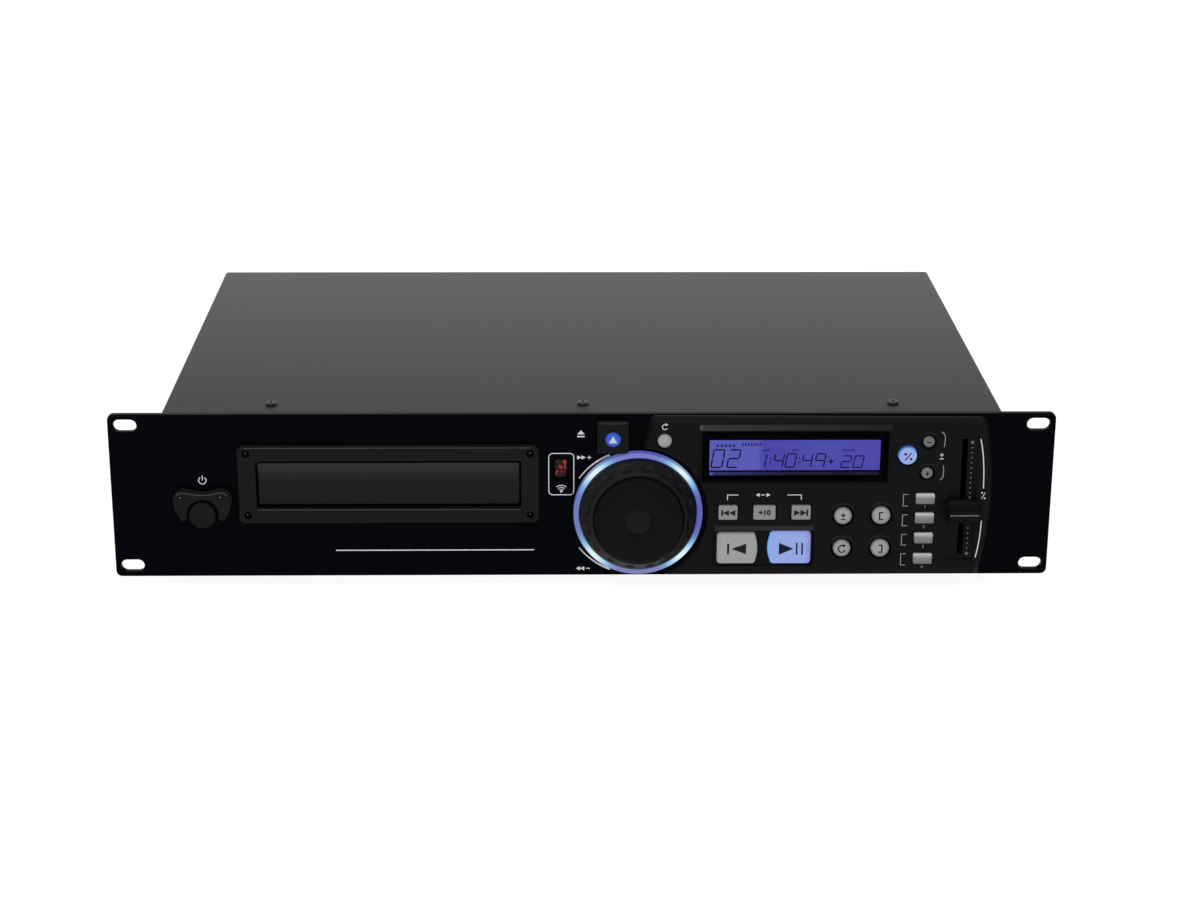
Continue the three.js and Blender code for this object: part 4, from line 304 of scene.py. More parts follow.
bright_steel = grained("bright_steel", (0.52, 0.52, 0.53), 0.32, 0.3, 0.02, 0.06, Metallic=1.0)
zinc_plate = grained("zinc_plate", (0.42, 0.43, 0.45), 0.4, 2.5, 0.03, 0.18, Metallic=1.0)
socket_black = grained("socket_black", (0.014, 0.014, 0.015), 0.48, 0.3, 0.03, Specular_IOR_Level=0.4)
# Painted highlight for the thin pale lines along the rims of mouldings
painted_edge_highlight = grained("painted_edge_highlight", (0.042, 0.043, 0.042), 0.4, 0.3, 0.01, 0.2, Specular_IOR_Level=0.2)
white_ink = grained("white_ink", (0.62, 0.63, 0.65), 0.6, 0.3, 0.01, 0.03, Specular_IOR_Level=0.2)
# Grey print, and also the colour of the painted glints on screws
grey_ink_and_glint = grained("grey_ink_and_glint", (0.25, 0.255, 0.26), 0.6, 0.3, 0.01, 0.05, Specular_IOR_Level=0.1)
key_ink = grained("key_ink", (0.010, 0.010, 0.012), 0.6, 0.3, 0.01, 0.1, Specular_IOR_Level=0.1)
print("finishes:", len(bpy.data.materials))

# %% [markdown]
# The cover is the one finish here that isn't even from front to rear: a painted reflection makes it lighter towards
# the rear, where the surface mirrors the bright surround. A ramp along the depth, with a very fine grain, is enough
# for it.

# %% Lacquer of the folded cover, with a painted sheen towards the rear
case_paint, shader, place = new_finish("case_paint")
sheen_reach = 285
depth_share = (place.part("Y") * (1 / sheen_reach)).clipped()
speckle = place.noise(0.9, 3.0)
# Painted reflection: the lacquer's colour grows lighter towards the rear
lacquer_and_sheen_tone = (0.78 * depth_share + 0.5 * speckle - 0.14).clipped().mixed(grey(0.010), grey(0.066))
set_shader(shader, Base_Color=lacquer_and_sheen_tone, Normal=speckle.bump(0.03, 0.4))
set_shader(shader, Roughness=0.47 + 0.06 * speckle, Specular_IOR_Level=0.09)
print("cover lacquer ready")

# %% [markdown]
# ## Outlines and layers
#
# Almost everything on a front panel is a flat shape with thickness: plates, frames, key caps. The edges are what
# makes them look real, because light catches every rounding. So a piece is built as closed outlines stacked from
# the front to the rear, each grown or shrunk a little. The walls come from bridging each outline to the next,
# and the flat faces come from filling the first and the last ones, holes and all. The alternative, a boolean cut
# and then a bevel, breaks easily where many holes lie close together.

# %% Outlines in the plane of the panel
def circle(x, z, radius, grow=0.0, steps=48):
    reach = radius + grow
    turns = [2 * math.pi * step / steps for step in range(steps)]
    return [(x + reach * math.cos(turn), z + reach * math.sin(turn)) for turn in turns]


def arc(x, z, radius, start, end, steps):
    turns = [math.radians(start + (end - start) * step / steps) for step in range(steps + 1)]
    return [(x + radius * math.cos(turn), z + radius * math.sin(turn)) for turn in turns]


def block(x, z, width, height, radius, grow=0.0, steps=5):
    corner = max(radius + grow, 0.02)
    half_x = width / 2 + grow - corner
    half_z = height / 2 + grow - corner
    outline = []
    for side_x, side_z, start in ((1, 1, 0), (-1, 1, 90), (-1, -1, 180), (1, -1, 270)):
        outline += arc(x + side_x * half_x, z + side_z * half_z, corner, start, start + 90, steps)
    return outline


print("outlines of a circle and a block:", len(circle(0, 0, 1)), len(block(0, 0, 2, 2, 0.2)))

# %% Layers of outlines, bridged and filled
def ring(shape, y, outline):
    verts = [shape.verts.new((x, y, z)) for x, z in outline]
    return [shape.edges.new(pair) for pair in zip(verts, verts[1:] + verts[:1])]


def walls(shape, layers):
    rings = [ring(shape, y, outline) for y, outline in layers]
    for near, far in zip(rings, rings[1:]):
        made = bmesh.ops.bridge_loops(shape, edges=near + far)
        for face in made["faces"]:
            face.smooth = True
    return rings[0], rings[-1]


def matched_walls(shape, layers):
    rings = [[shape.verts.new((x, y, z)) for x, z in outline] for y, outline in layers]
    for near, far in zip(rings, rings[1:]):
        for index in range(len(near)):
            around = (near[index - 1], near[index], far[index], far[index - 1])
            shape.faces.new(around).smooth = True
    ends = []
    for corners in (rings[0], rings[-1]):
        ends.append([shape.edges.get(pair) for pair in zip(corners, corners[1:] + corners[:1])])
    return ends


def plate(outlines, pockets=(), build=walls):
    shape = bmesh.new()
    front, back = [], []
    for layers in outlines:
        near, far = build(shape, layers)
        front += near
        back += far
    for pocket, inner in pockets:
        near, floor = walls(shape, pocket)
        front += near
        for layers in inner:
            near, far = walls(shape, layers)
            floor = floor + near
            back += far
        bmesh.ops.triangle_fill(shape, edges=floor, use_beauty=True)
    for rim in (front, back):
        bmesh.ops.triangle_fill(shape, edges=rim, use_beauty=True)
    return shape


print("plates ready")

# %% Profiles for a stack, and shapes turned on an axis
def stacked(outline, profile):
    return [(y, outline(grow)) for y, grow in profile]


def rounded_edge(front, radius, back, steps=4):
    turns = [math.pi / 2 * step / steps for step in range(steps + 1)]
    bend = [(front + radius * (1 - math.cos(turn)), -radius * (1 - math.sin(turn))) for turn in turns]
    return bend + [(back, 0.0)]


def rounded_mouth(front, radius, back, steps=4):
    return [(y, -grow) for y, grow in rounded_edge(front, radius, back, steps)]


def turned_shape(profile, x, z, steps=96):
    shape = bmesh.new()
    verts = [shape.verts.new((x + radius, y, z)) for radius, y in profile]
    edges = [shape.edges.new(pair) for pair in zip(verts, verts[1:])]
    bmesh.ops.spin(
        shape, geom=verts + edges, cent=(x, 0, z), axis=(0, 1, 0), angle=2 * math.pi,
        steps=steps, use_merge=True, use_duplicate=False,
    )
    bmesh.ops.remove_doubles(shape, verts=shape.verts, dist=0.0005)
    for face in shape.faces:
        face.smooth = True
    return shape


print("profiles and turned shapes ready")

# %% Hand a finished shape over as a piece
def publish(name, shape, finish, body, stands_for=(), sharp=38, placed=to_metres):
    bmesh.ops.recalc_face_normals(shape, faces=shape.faces)
    bmesh.ops.transform(shape, matrix=placed, verts=shape.verts)
    open_edges = sum(1 for edge in shape.edges if len(edge.link_faces) != 2)
    mesh = bpy.data.meshes.new(name)
    shape.to_mesh(mesh)
    shape.free()
    mesh.materials.append(finish)
    mesh.set_sharp_from_angle(angle=math.radians(sharp))
    piece = bpy.data.objects.new(name, mesh)
    bpy.context.scene.collection.objects.link(piece)
    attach(piece, body)
    if stands_for:
        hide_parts(*stands_for)
    print(name, "-", len(mesh.polygons), "faces,", open_edges, "open edges")
    return piece


def repeated(shape, places):
    master = list(shape.verts) + list(shape.edges) + list(shape.faces)
    corners = list(shape.verts)
    for place in places[1:]:
        copied = bmesh.ops.duplicate(shape, geom=master)["geom"]
        moved = [item for item in copied if isinstance(item, bmesh.types.BMVert)]
        bmesh.ops.translate(shape, vec=place, verts=moved)
    bmesh.ops.translate(shape, vec=places[0], verts=corners)
    return shape


def joined(shapes):
    whole = shapes[0]
    for shape in shapes[1:]:
        carrier = bpy.data.meshes.new("carrier")
        shape.to_mesh(carrier)
        shape.free()
        whole.from_mesh(carrier)
        bpy.data.meshes.remove(carrier)
    return whole


print("publish ready")

# %% [markdown]
# ## The steel front
#
# The front is a flat 3 mm steel plate with its edges just broken, painted gloss black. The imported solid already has
# every hole in the right place, so drawing it again would only risk mistakes. A merged copy of it gets a narrow
# Bevel instead, which gives the edges and the ear slots the thin line of light that painted steel has. Weighted
# normals keep the large flat faces flat where they meet the small bevel faces.

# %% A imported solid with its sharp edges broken
body_of_node = {}
for body_name, node_names in frame["record"]["behaviour"]["bodies"].items():
    for node_name in node_names:
        body_of_node[node_name] = body_name


def softened(name, node, finish, width, segments=2, angle=30):
    shape = bmesh.new()
    shape.from_mesh(frame["nodes"][node].data)
    bmesh.ops.remove_doubles(shape, verts=shape.verts, dist=1e-6)
    bmesh.ops.dissolve_limit(shape, angle_limit=math.radians(1), verts=shape.verts, edges=shape.edges)
    for face in shape.faces:
        face.smooth = True
    nowhere = Matrix.Identity(4)
    piece = publish(name, shape, finish, body_of_node[node], (node,), 32, nowhere)
    bevel = piece.modifiers.new("broken edges", "BEVEL")
    bevel.width = width * MM
    bevel.segments = segments
    bevel.limit_method = "ANGLE"
    bevel.angle_limit = math.radians(angle)
    piece.modifiers.new("flat faces", "WEIGHTED_NORMAL").keep_sharp = True
    return piece


softened("steel_front", "front_panel", panel_paint, 0.3)

# %% [markdown]
# ## The folded case
#
# The cover is one sheet folded down on both sides, and its bends are what tells sheet steel from a block: a soft
# band of light runs along each one. So its cross-section is drawn as one closed outline with finely stepped bends
# and bridged from the front end to the rear end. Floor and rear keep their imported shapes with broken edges.

# %% Cover, floor, rear and feet
cover_low, cover_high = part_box("top_cover")
cover_half = cover_high.x / MM
cover_top = (cover_high.z - panel_low.z) / MM
cover_foot = (cover_low.z - panel_low.z) / MM
cover_front = (cover_low.y - panel_low.y) / MM
cover_rear = (cover_high.y - panel_low.y) / MM
sheet = 1.2
bend = 2.2


def cover_section(inset):
    half, foot = cover_half - inset, cover_foot + inset
    thin = sheet - 2 * inset
    bend_x, bend_z = half - bend, cover_top - inset - bend
    outer_bend = bend - inset
    inner_bend = outer_bend - thin
    outer = arc(bend_x, bend_z, outer_bend, 0, 90, 8) + arc(-bend_x, bend_z, outer_bend, 90, 180, 8)
    inner = arc(-bend_x, bend_z, inner_bend, 180, 90, 8) + arc(bend_x, bend_z, inner_bend, 90, 0, 8)
    left = [(-half, foot), (-half + thin, foot)]
    right = [(half - thin, foot), (half, foot)]
    return outer + left + inner + right


edge = 0.15
cover_layers = [
    (cover_front, cover_section(edge)),
    (cover_front + edge, cover_section(0)),
    (cover_rear - edge, cover_section(0)),
    (cover_rear, cover_section(edge)),
]
publish("case_cover", plate([cover_layers]), case_paint, "case", ("top_cover",))
softened("case_floor", "chassis_base", zinc_plate, 0.15)
softened("case_rear", "rear_panel", case_paint, 0.15)
for corner in ("front_left", "front_right", "rear_left", "rear_right"):
    softened("rubber_" + corner, "foot_" + corner, foot_rubber, 0.5, 3, 20)

# %% [markdown]
# ## The tray opening
#
# A moulded frame is screwed over the opening in the steel. Its outer edge is rounded and so is the lip round the
# opening, and the screws sit in small wells. The tray's own face is a thin plate that closes the opening with a
# dark gap all round. Its finish is matt, with faint streaks from the flow in the mould, and a painted highlight
# makes it paler towards the top.

# %% Frame and screw wells
tray_x, tray_z = middle("tray_bezel").x, middle("tray_bezel").z
frame_front, frame_rear = -3.2, -0.25
frame_outline = lambda grow: block(tray_x, tray_z, 154.2, 42.3, 3.5, grow, 8)
opening_outline = lambda grow: block(tray_x, tray_z, 135.3, 25.6, 1.2, grow, 8)
edge_bevel = [(frame_front, -0.95), (-3.12, -0.72), (-2.85, -0.42), (-2.4, -0.18), (-1.7, -0.03),
              (-1.0, 0.0), (frame_rear, 0.0)]
frame_edge = stacked(frame_outline, edge_bevel)
opening_edge = stacked(opening_outline, rounded_mouth(frame_front, 0.5, frame_rear))
frame_screws = [(tray_x + side * 72.4, tray_z + up * 16.65) for side in (-1, 1) for up in (-1, 1)]
well_steps = ((frame_front, 2.15), (-3.05, 1.98), (-1.6, 1.95))
wells = [([(y, circle(x, z, radius)) for y, radius in well_steps], []) for x, z in frame_screws]
tray_frame = plate([frame_edge, opening_edge], wells)
publish("tray_frame", tray_frame, frame_moulding, "case", ("tray_bezel",))

# %% Tray face, with a painted highlight towards the top
tray_face_finish, shader, place = new_finish("tray_face_finish")
paler_from, paler_over = 49.75, 12
streak = place.moved(stretch=(1, 0.02, 0.03)).noise(3.0, 3.0)
# Painted highlight: the colour grows paler towards the top of the tray face
upward = ((place.part("Z") - paler_from) * (1 / paler_over)).clipped()
tone = (0.84 * upward * upward + 0.2 * streak - 0.04).clipped().mixed((0.0068, 0.0078, 0.0073), grey(0.036))
set_shader(shader, Base_Color=tone, Normal=place.noise(0.35, 3.0).bump(0.03, 0.3))
set_shader(shader, Roughness=0.42 + 0.12 * streak, Specular_IOR_Level=0.07)
tray_outline = lambda grow: block(tray_x, tray_z, 133.6, 22.6, 0.8, grow)
tray_face = plate([stacked(tray_outline, rounded_edge(-1.0, 0.5, 1.3) + [(1.8, -0.5)])])
publish("tray_face", tray_face, tray_face_finish, "disc_tray", ("tray_front",))
softened("tray_pan", "disc_tray", moulded_black, 0.3)

# %% [markdown]
# ## The control panel moulding
#
# This is the piece that gives the front its character: a thick moulding with a wide chamfer, a curved right end
# and a bite for the jog ring. Round keys sit in dished hollows, the big keys share a shallow tray, the fader runs
# in a long recess, and a sloped lip frames the display. Every one of them is one more stack of outlines.

# %% The edge of the moulding, drawn with arcs
jog_x, jog_z = middle("jog_light_ring").x, middle("jog_light_ring").z
ring_low, ring_high = panel_box("jog_light_ring")
ring_outer = ring_high.x - jog_x
moulding_low, moulding_high = panel_box("control_fascia")
face_y, rear_y = moulding_low.y, moulding_high.y
moulding_left, moulding_right = moulding_low.x, moulding_high.x
moulding_foot, moulding_top = moulding_low.z, moulding_high.z


def moulding_outline(grow):
    corner, bulge = 4.0, 5.0
    inset = -grow
    half = (moulding_top - moulding_foot) / 2
    middle_z = moulding_foot + half
    sweep = (half * half + bulge * bulge) / (2 * bulge)
    centre = moulding_right - sweep
    foot = moulding_foot + 0.35 * inset
    low = math.asin((foot - middle_z) / (sweep - inset))
    reach = math.asin((half - corner) / sweep)
    end = arc(centre, middle_z, sweep - inset, math.degrees(low), math.degrees(reach), 32)
    corner_x = centre + (sweep - corner) * math.cos(reach)
    corner_z = min(middle_z + (sweep - corner) * math.sin(reach), moulding_top - corner)
    top_right = arc(corner_x, corner_z, corner + grow, math.degrees(reach), 90, 8)
    top_left = arc(moulding_left + 3.4 + corner, moulding_top - corner, corner + grow, 90, 170, 8)
    bite = ring_outer + 2.3 + 0.16 * inset
    start = math.degrees(math.acos((moulding_left + 0.75 * inset - jog_x) / bite))
    stop = math.degrees(math.asin((foot - jog_z) / bite))
    around_ring = arc(jog_x, jog_z, bite, start, stop, 64)
    return end[:-1] + top_right + top_left + around_ring


chamfer = [(-5.0, -3.6), (-4.93, -3.2), (-4.5, -2.6), (-2.3, -0.45), (-1.8, -0.12), (-1.3, 0.0),
           (rear_y, 0.0)]
print("moulding outline:", len(moulding_outline(0)), "points")

# %% Keys: where they are and how big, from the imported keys
round_names = ("key_jog_mode", "key_pitch_lock", "key_bend_minus", "key_bend_plus",
               "key_pitch_range", "key_loop_in", "key_reloop", "key_loop_out")
search_names = ("key_search_back", "key_skip_ten", "key_search_forward")
small_names = ("key_time", "key_single", "key_program", "key_repeat")
key_flange = 0.7


def key_place(node, top_trim=0.0, side_trim=0.0):
    low, high = panel_box(node)
    centre = (low + high) / 2
    width = high.x - low.x - 2 * key_flange - side_trim
    height = high.z - low.z - 2 * key_flange - top_trim
    return centre.x, centre.z - top_trim / 2, width, height


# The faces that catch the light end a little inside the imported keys, so the keys are trimmed here
round_trim, small_top_trim, small_side_trim, big_top_trim = 0.5, 0.6, 0.3, 1.1
round_keys = {}
for node in round_names:
    x, z, width, height = key_place(node)
    round_keys[node] = (x, z, width / 2 - round_trim)
square_keys = {node: key_place(node) for node in search_names}
square_keys.update({node: key_place(node, small_top_trim, small_side_trim) for node in small_names})
cue_x, cue_z, cue_wide, cue_high = key_place("key_cue", big_top_trim)
play_x, play_z, play_wide, play_high = key_place("key_play_pause", big_top_trim)
big_key_rim = play_z + play_high / 2
print("keys:", len(round_keys) + len(square_keys) + 2)

# %% [markdown]
# The two big keys face each other like a pair of brackets: one flank of each is straight and the other one bulges.
# So one outline serves for both, drawn for the left key and mirrored for the right one.

# %% Outline of the two big keys
def swollen(x, z, width, height, side, grow=0.0):
    corner = max(1.8 + grow, 0.1)
    half_z = height / 2 + grow - corner
    half_x = width / 2 + grow - corner - 1.0
    flank = []
    for step in range(1, 8):
        rise = -1 + step / 4
        flank.append((half_x + corner + 1 - rise * rise, rise * half_z))
    points = arc(half_x, -half_z, corner, 270, 360, 5) + flank + arc(half_x, half_z, corner, 0, 90, 5)
    left = -half_x - 1.0
    points += arc(left, half_z, corner, 90, 180, 5) + arc(left, -half_z, corner, 180, 270, 5)
    return [(x + side * across, z + up) for across, up in points][::side]


cue_outline = lambda grow: swollen(cue_x, cue_z, cue_wide, cue_high, 1, grow)
play_outline = lambda grow: swollen(play_x, play_z, play_wide, play_high, -1, grow)
print("outline of a big key:", len(cue_outline(0)), "points")

# %% [markdown]
# Each round key stands inside a soft collar: the face rises to a low ridge round the key and then falls steeply to
# it. The ridge, with a painted highlight on its upper side, shows as a bright crescent above a key. Where two keys
# stand close together the collars are made smaller, because two of them can't share the same spot on the face.

# %% Collars round the keys
key_gap = 0.3
collar = [(-5.0, 3.2), (-5.12, 2.95), (-5.42, 2.6), (-5.62, 2.3), (-5.68, 2.05), (-5.6, 1.8), (-5.3, 1.45),
          (-4.8, 1.1), (-4.0, 0.72), (-3.1, 0.45), (-2.4, key_gap), (rear_y, key_gap)]
collar_share = {"key_jog_mode": 0.3, "key_pitch_lock": 0.52, "key_bend_minus": 0.64, "key_bend_plus": 0.64}
usual_share = 0.8


def key_collar(node):
    x, z, radius = round_keys[node]
    share = collar_share.get(node, usual_share)
    layers = []
    for y, grow in collar:
        lift = min(y - face_y, 0) * min(1.0, 1.3 * share)
        layers.append((max(y, face_y) + lift, circle(x, z, radius, key_gap + (grow - key_gap) * share)))
    return layers


def framed(left, right, low, high, radius):
    return block((left + right) / 2, (low + high) / 2, right - left, high - low, radius)


def mouth(box, radius, profile, low_share=1.0, high_share=1.0):
    left, right, low, high = box
    layers = []
    for y, grow in profile:
        down = grow * (low_share if grow > 0 else 1)
        up = grow * (high_share if grow > 0 else 1)
        layers.append((y, framed(left - grow, right + grow, low - down, high + up, max(radius + grow, 0.1))))
    return layers


print("collars:", len(round_keys))

# %% Holes for the keys and for the display
holes = [stacked(moulding_outline, chamfer)]
holes += [key_collar(node) for node in round_keys]
search_rim = [(-5.0, 1.6), (-5.12, 1.35), (-5.3, 0.95), (-5.22, 0.6), (-4.8, 0.36), (rear_y, key_gap)]
small_rim = [(-5.0, 1.0), (-5.08, 0.8), (-5.06, 0.55), (-4.8, 0.36), (rear_y, key_gap)]
for node, (x, z, width, height) in square_keys.items():
    profile = search_rim if node in search_names else small_rim
    box = (x - width / 2, x + width / 2, z - height / 2, z + height / 2)
    holes.append(mouth(box, 0.8, profile))
pane_low, pane_high = panel_box("lcd_window")
pane_gap = 0.25
lcd_box = (pane_low.x - pane_gap, pane_high.x + pane_gap, pane_low.z - pane_gap, pane_high.z + pane_gap)
brow = [(-5.0, 1.75), (-5.1, 1.65), (-6.15, 0.3), (-6.22, 0.14), (-6.15, 0.0), (rear_y, 0.0)]
holes.append(mouth(lcd_box, 0.4, brow, 0.8, 1.95))
print("outlines through the moulding:", len(holes))

# %% Pockets for the big keys and the fader, and the finished moulding
key_tray = (cue_x - cue_wide / 2 - 1.7, play_x + play_wide / 2 + 1.7,
            play_z - play_high / 2 - 1.7, big_key_rim + 0.6)
tray_rim = [(-5.0, 2.2), (-5.15, 1.9), (-5.42, 1.25), (-5.5, 0.8), (-5.35, 0.35), (-4.7, 0.0), (-4.3, -0.3)]
big_pocket = mouth(key_tray, 1.8, tray_rim, 0.5, 1.5)
hole_edge = ((-4.3, 0.4), (-4.2, key_gap), (rear_y, key_gap))
big_holes = [stacked(outline, hole_edge) for outline in (cue_outline, play_outline)]
recess_floor = -4.0
fader_x, fader_z = middle("pitch_fader_body").x, middle("pitch_fader_body").z
fader_tray = lambda grow: block(fader_x - 0.5, fader_z, 14.0, 67.9, 1.0, grow)
fader_pocket = stacked(fader_tray, [(-5.0, 0.35), (-4.88, 0.1), (-4.2, -0.1), (recess_floor, -0.5)])
slot_edge = ((recess_floor, 0.2), (-3.85, 0.0), (rear_y, 0.0))
fader_slot = stacked(lambda grow: block(fader_x, fader_z, 2.9, 63.3, 0.4, grow), slot_edge)
moulding = plate(holes, [(big_pocket, big_holes), (fader_pocket, [fader_slot])])
publish("control_moulding", moulding, fascia_moulding, "case", ("control_fascia",), 30)

# %% [markdown]
# The slope above the display, the shelf above the two big keys and the upper sides of the collars get painted
# highlights: they are painted a little paler than the face, where they would catch the light. One finish covers the
# whole moulding, and masks made from the same places that drew the shapes say where it is paler.

# %% Painted highlights on the brow and shelf
place, tone = base_of(fascia_moulding)
across, upward = place.part("X"), place.part("Z")
left, right, low, high = lcd_box
brow_side = 1.7
# Painted highlight on the slope above the display, brightest at its left end
band = between(upward, high + 0.35, high + 3.5, 3.0) * between(across, left - brow_side, right + brow_side)
rightward = ((across - left + brow_side) * (1 / (right - left))).clipped()
sheen_stops = [(0.0, (0.070, 0.074, 0.072)), (0.03, (0.030, 0.032, 0.031)),
               (0.5, (0.0205, 0.0220, 0.0212)), (1.0, (0.011, 0.012, 0.0116))]
tone = band.mixed(tone, rightward.looked_up(sheen_stops))
left, right = key_tray[:2]
# Painted highlight on the shelf above the big keys
shelf = between(upward, big_key_rim, big_key_rim + 3.7, 3.0) * between(across, left, right, 0.8, 0.8)
tone = shelf.mixed(tone, (0.0225, 0.0238, 0.0232))
print("brow and shelf mixed in")

# %% Painted highlights on the collars
for node, (x, z, radius) in round_keys.items():
    share = collar_share.get(node, usual_share)
    aside, up, reach = from_centre(place, x, z)
    # Painted highlight: a pale crescent on the upper side of each collar
    off_crest = place.maths("ABSOLUTE", reach - (radius + 0.5 + 1.9 * share)) * (1 / share)
    crescent = (1.0 - off_crest).clipped() * place.maths("DIVIDE", up, reach).clipped()
    tone = (crescent * share).mixed(tone, (0.0175, 0.0185, 0.018))
recolour(fascia_moulding, tone)
print("collars mixed in")

# %% [markdown]
# ## Keys with crowned faces
#
# A moulded key is never flat on top: its face swells a little so that the finger finds it, and the light rolls over
# it. Each cap is a stack of outlines again, with the last few millimetres of the face drawn in by tiny steps. The
# same stack then steps out into the flange that keeps the key behind the moulding, and in to its stem.
#
# Lit keys glow unevenly, because the lamp behind them stands to one side. A share from 0 to 1, measured either
# across the key or outward from its middle, is looked up in a row of colour stops.

# %% A recipe for lit things
def sideways_share(left, width):
    return lambda place: (place.part("X") - left) * (1 / width)


def outward_share(x, z, radius):
    return lambda place: from_centre(place, x, z)[2] * (1 / radius)


def glowing(name, share_of, stops, dark, light, specular=0.3):
    material, shader, place = new_finish(name)
    glow = share_of(place).clipped().looked_up(stops)
    patches = place.noise(5.0)
    grain = place.noise(0.25, 3.0).bump(0.02, 0.4)
    set_shader(shader, Base_Color=patches.mixed(dark, light), Emission_Color=glow, Emission_Strength=1.0)
    set_shader(shader, Roughness=0.36 + 0.1 * patches, Specular_IOR_Level=specular, Normal=grain)
    return material


print("recipe for lit things ready")

# %% The two lit keys
play_stops = [(0.0, (0.10, 0.45, 0.80)), (0.03, (0.13, 0.30, 0.70)), (0.10, (0.195, 0.275, 0.60)),
              (0.85, (0.195, 0.265, 0.60)), (1.0, (0.13, 0.14, 0.46))]
lock_stops = [(0.0, (0.225, 0.27, 0.60)), (0.82, (0.225, 0.27, 0.60)),
              (0.93, (0.14, 0.40, 0.74)), (1.0, (0.05, 0.14, 0.44))]
key_dark, key_light = (0.07, 0.08, 0.12), (0.10, 0.11, 0.15)
play_share = sideways_share(play_x - play_wide / 2, play_wide)
play_glow = glowing("play_glow", play_share, play_stops, key_dark, key_light)
lock_x, lock_z, lock_radius = round_keys["key_pitch_lock"]
lock_share = outward_share(lock_x, lock_z, lock_radius)
lock_glow = glowing("lock_glow", lock_share, lock_stops, key_dark, key_light)
print("lit keys: play and pitch lock")

# %% Crowns and the stack of a key cap
round_crown = [(0.0, -2.2), (0.05, -1.6), (0.16, -1.1), (0.34, -0.65), (0.62, -0.28), (1.0, -0.05),
               (1.4, 0.0)]
flat_crown = [(0.0, -0.55), (0.05, -0.32), (0.2, -0.1), (0.5, 0.0)]
cue_crown = [(0.0, -1.6), (0.08, -1.0), (0.3, -0.45), (0.65, -0.12), (1.0, 0.0)]
play_crown = [(0.0, -5.0), (0.06, -3.4), (0.17, -2.1), (0.34, -1.2), (0.6, -0.55), (1.0, -0.15), (1.5, 0.0)]
scooped_crown = [(0.0, grow) for grow in (-2.9, -2.5, -2.0, -1.5, -1.0, -0.6, -0.35)]
scooped_crown += [(0.1, -0.1), (0.35, 0.0)]
key_top, big_key_top = -6.4, -7.2
flange_front, flange_rear, stem_radius, stem_end = 0.0, 1.0, 1.5, 8.35


def cap_shape(outline, front, crown_profile, x, z):
    profile = [(front + rise, grow) for rise, grow in crown_profile]
    profile += [(flange_front, 0.0), (flange_front, key_flange)]
    profile += [(flange_rear, key_flange), (flange_rear, 0.0)]
    layers = stacked(outline, profile)
    stem = circle(x, z, stem_radius, steps=len(layers[0][1]))
    return plate([layers + [(flange_rear, stem), (stem_end, stem)]])


def key_cap(node, shape, finish, sharp=30):
    return publish("cap_" + node[4:], shape, finish, node, (node,), sharp)


print("crowns from flat to deep, stem to", stem_end, "mm behind the panel")

# %% Round keys, with painted shade towards the rim
usual_tone = 0.315
middle_tones = {"key_bend_minus": 0.14, "key_bend_plus": 0.16, "key_jog_mode": 0.32}


def rim_shaded(node, x, z, radius):
    finish = key_finish("cap_" + node, usual_tone)
    tone = middle_tones.get(node, usual_tone)
    # Painted shade: darker towards the rim, most of all at the lower right
    share = outward_share(x - 0.3, z + 0.6, radius + 0.6)(base_of(finish)[0]).clipped()
    stops = [(at, grey(part * tone)) for at, part in ((0.0, 1.0), (0.62, 0.92), (1.0, 0.42))]
    recolour(finish, share.looked_up(stops))
    return finish


for node, (x, z, radius) in round_keys.items():
    outline = lambda grow: circle(x, z, radius, grow)
    finish = lock_glow if node == "key_pitch_lock" else rim_shaded(node, x, z, radius)
    key_cap(node, cap_shape(outline, key_top, round_crown, x, z), finish)
print("round keys:", len(round_keys))

# %% Search keys and the two big keys
for node in search_names:
    x, z, width, height = square_keys[node]
    outline = lambda grow: block(x, z, width, height, 0.8, grow)
    key_cap(node, cap_shape(outline, key_top, flat_crown, x, z), key_darker)
key_cap("key_cue", cap_shape(cue_outline, big_key_top, cue_crown, cue_x, cue_z), key_plastic)
key_cap("key_play_pause", cap_shape(play_outline, big_key_top, play_crown, play_x, play_z), play_glow)
print("search and big keys:", len(search_names) + 2)

# %% [markdown]
# The four small keys have a face like a wave: it leans back at the top, bulges, and has a hollow for the fingertip
# below. The points of an ordinary cap are moved forward or back by their height, along a line that is drawn once.
# Points are needed along the sides for that, so the outline is given some between its corners.

# %% Small keys with a wave in the face and painted light and shade
wave = [(-1.0, -6.5), (-0.7, -6.15), (-0.3, -6.0), (0.0, -6.35), (0.6, -6.55), (1.0, -6.2)]
# Painted light and shade: each small key is dark at the bottom and pale at the top
painted_light_tones = ((0.0, 0.14), (0.3, 0.165), (0.6, 0.205), (0.85, 0.38), (1.0, 0.60))
painted_light_stops = [(at, grey(tone)) for at, tone in painted_light_tones]


def sided(outline, parts=8):
    corner = len(outline) // 4
    points = []
    for start in range(0, len(outline), corner):
        points += outline[start:start + corner]
        x0, z0 = outline[start + corner - 1]
        x1, z1 = outline[(start + corner) % len(outline)]
        points += [(x0 + (x1 - x0) * step / parts, z0 + (z1 - z0) * step / parts) for step in range(1, parts)]
    return points


def along(line, place):
    for (start, first), (stop, last) in zip(line, line[1:]):
        if place <= stop:
            share = max((place - start) / (stop - start), 0)
            return first + (last - first) * share * share * (3 - 2 * share)
    return line[-1][1]


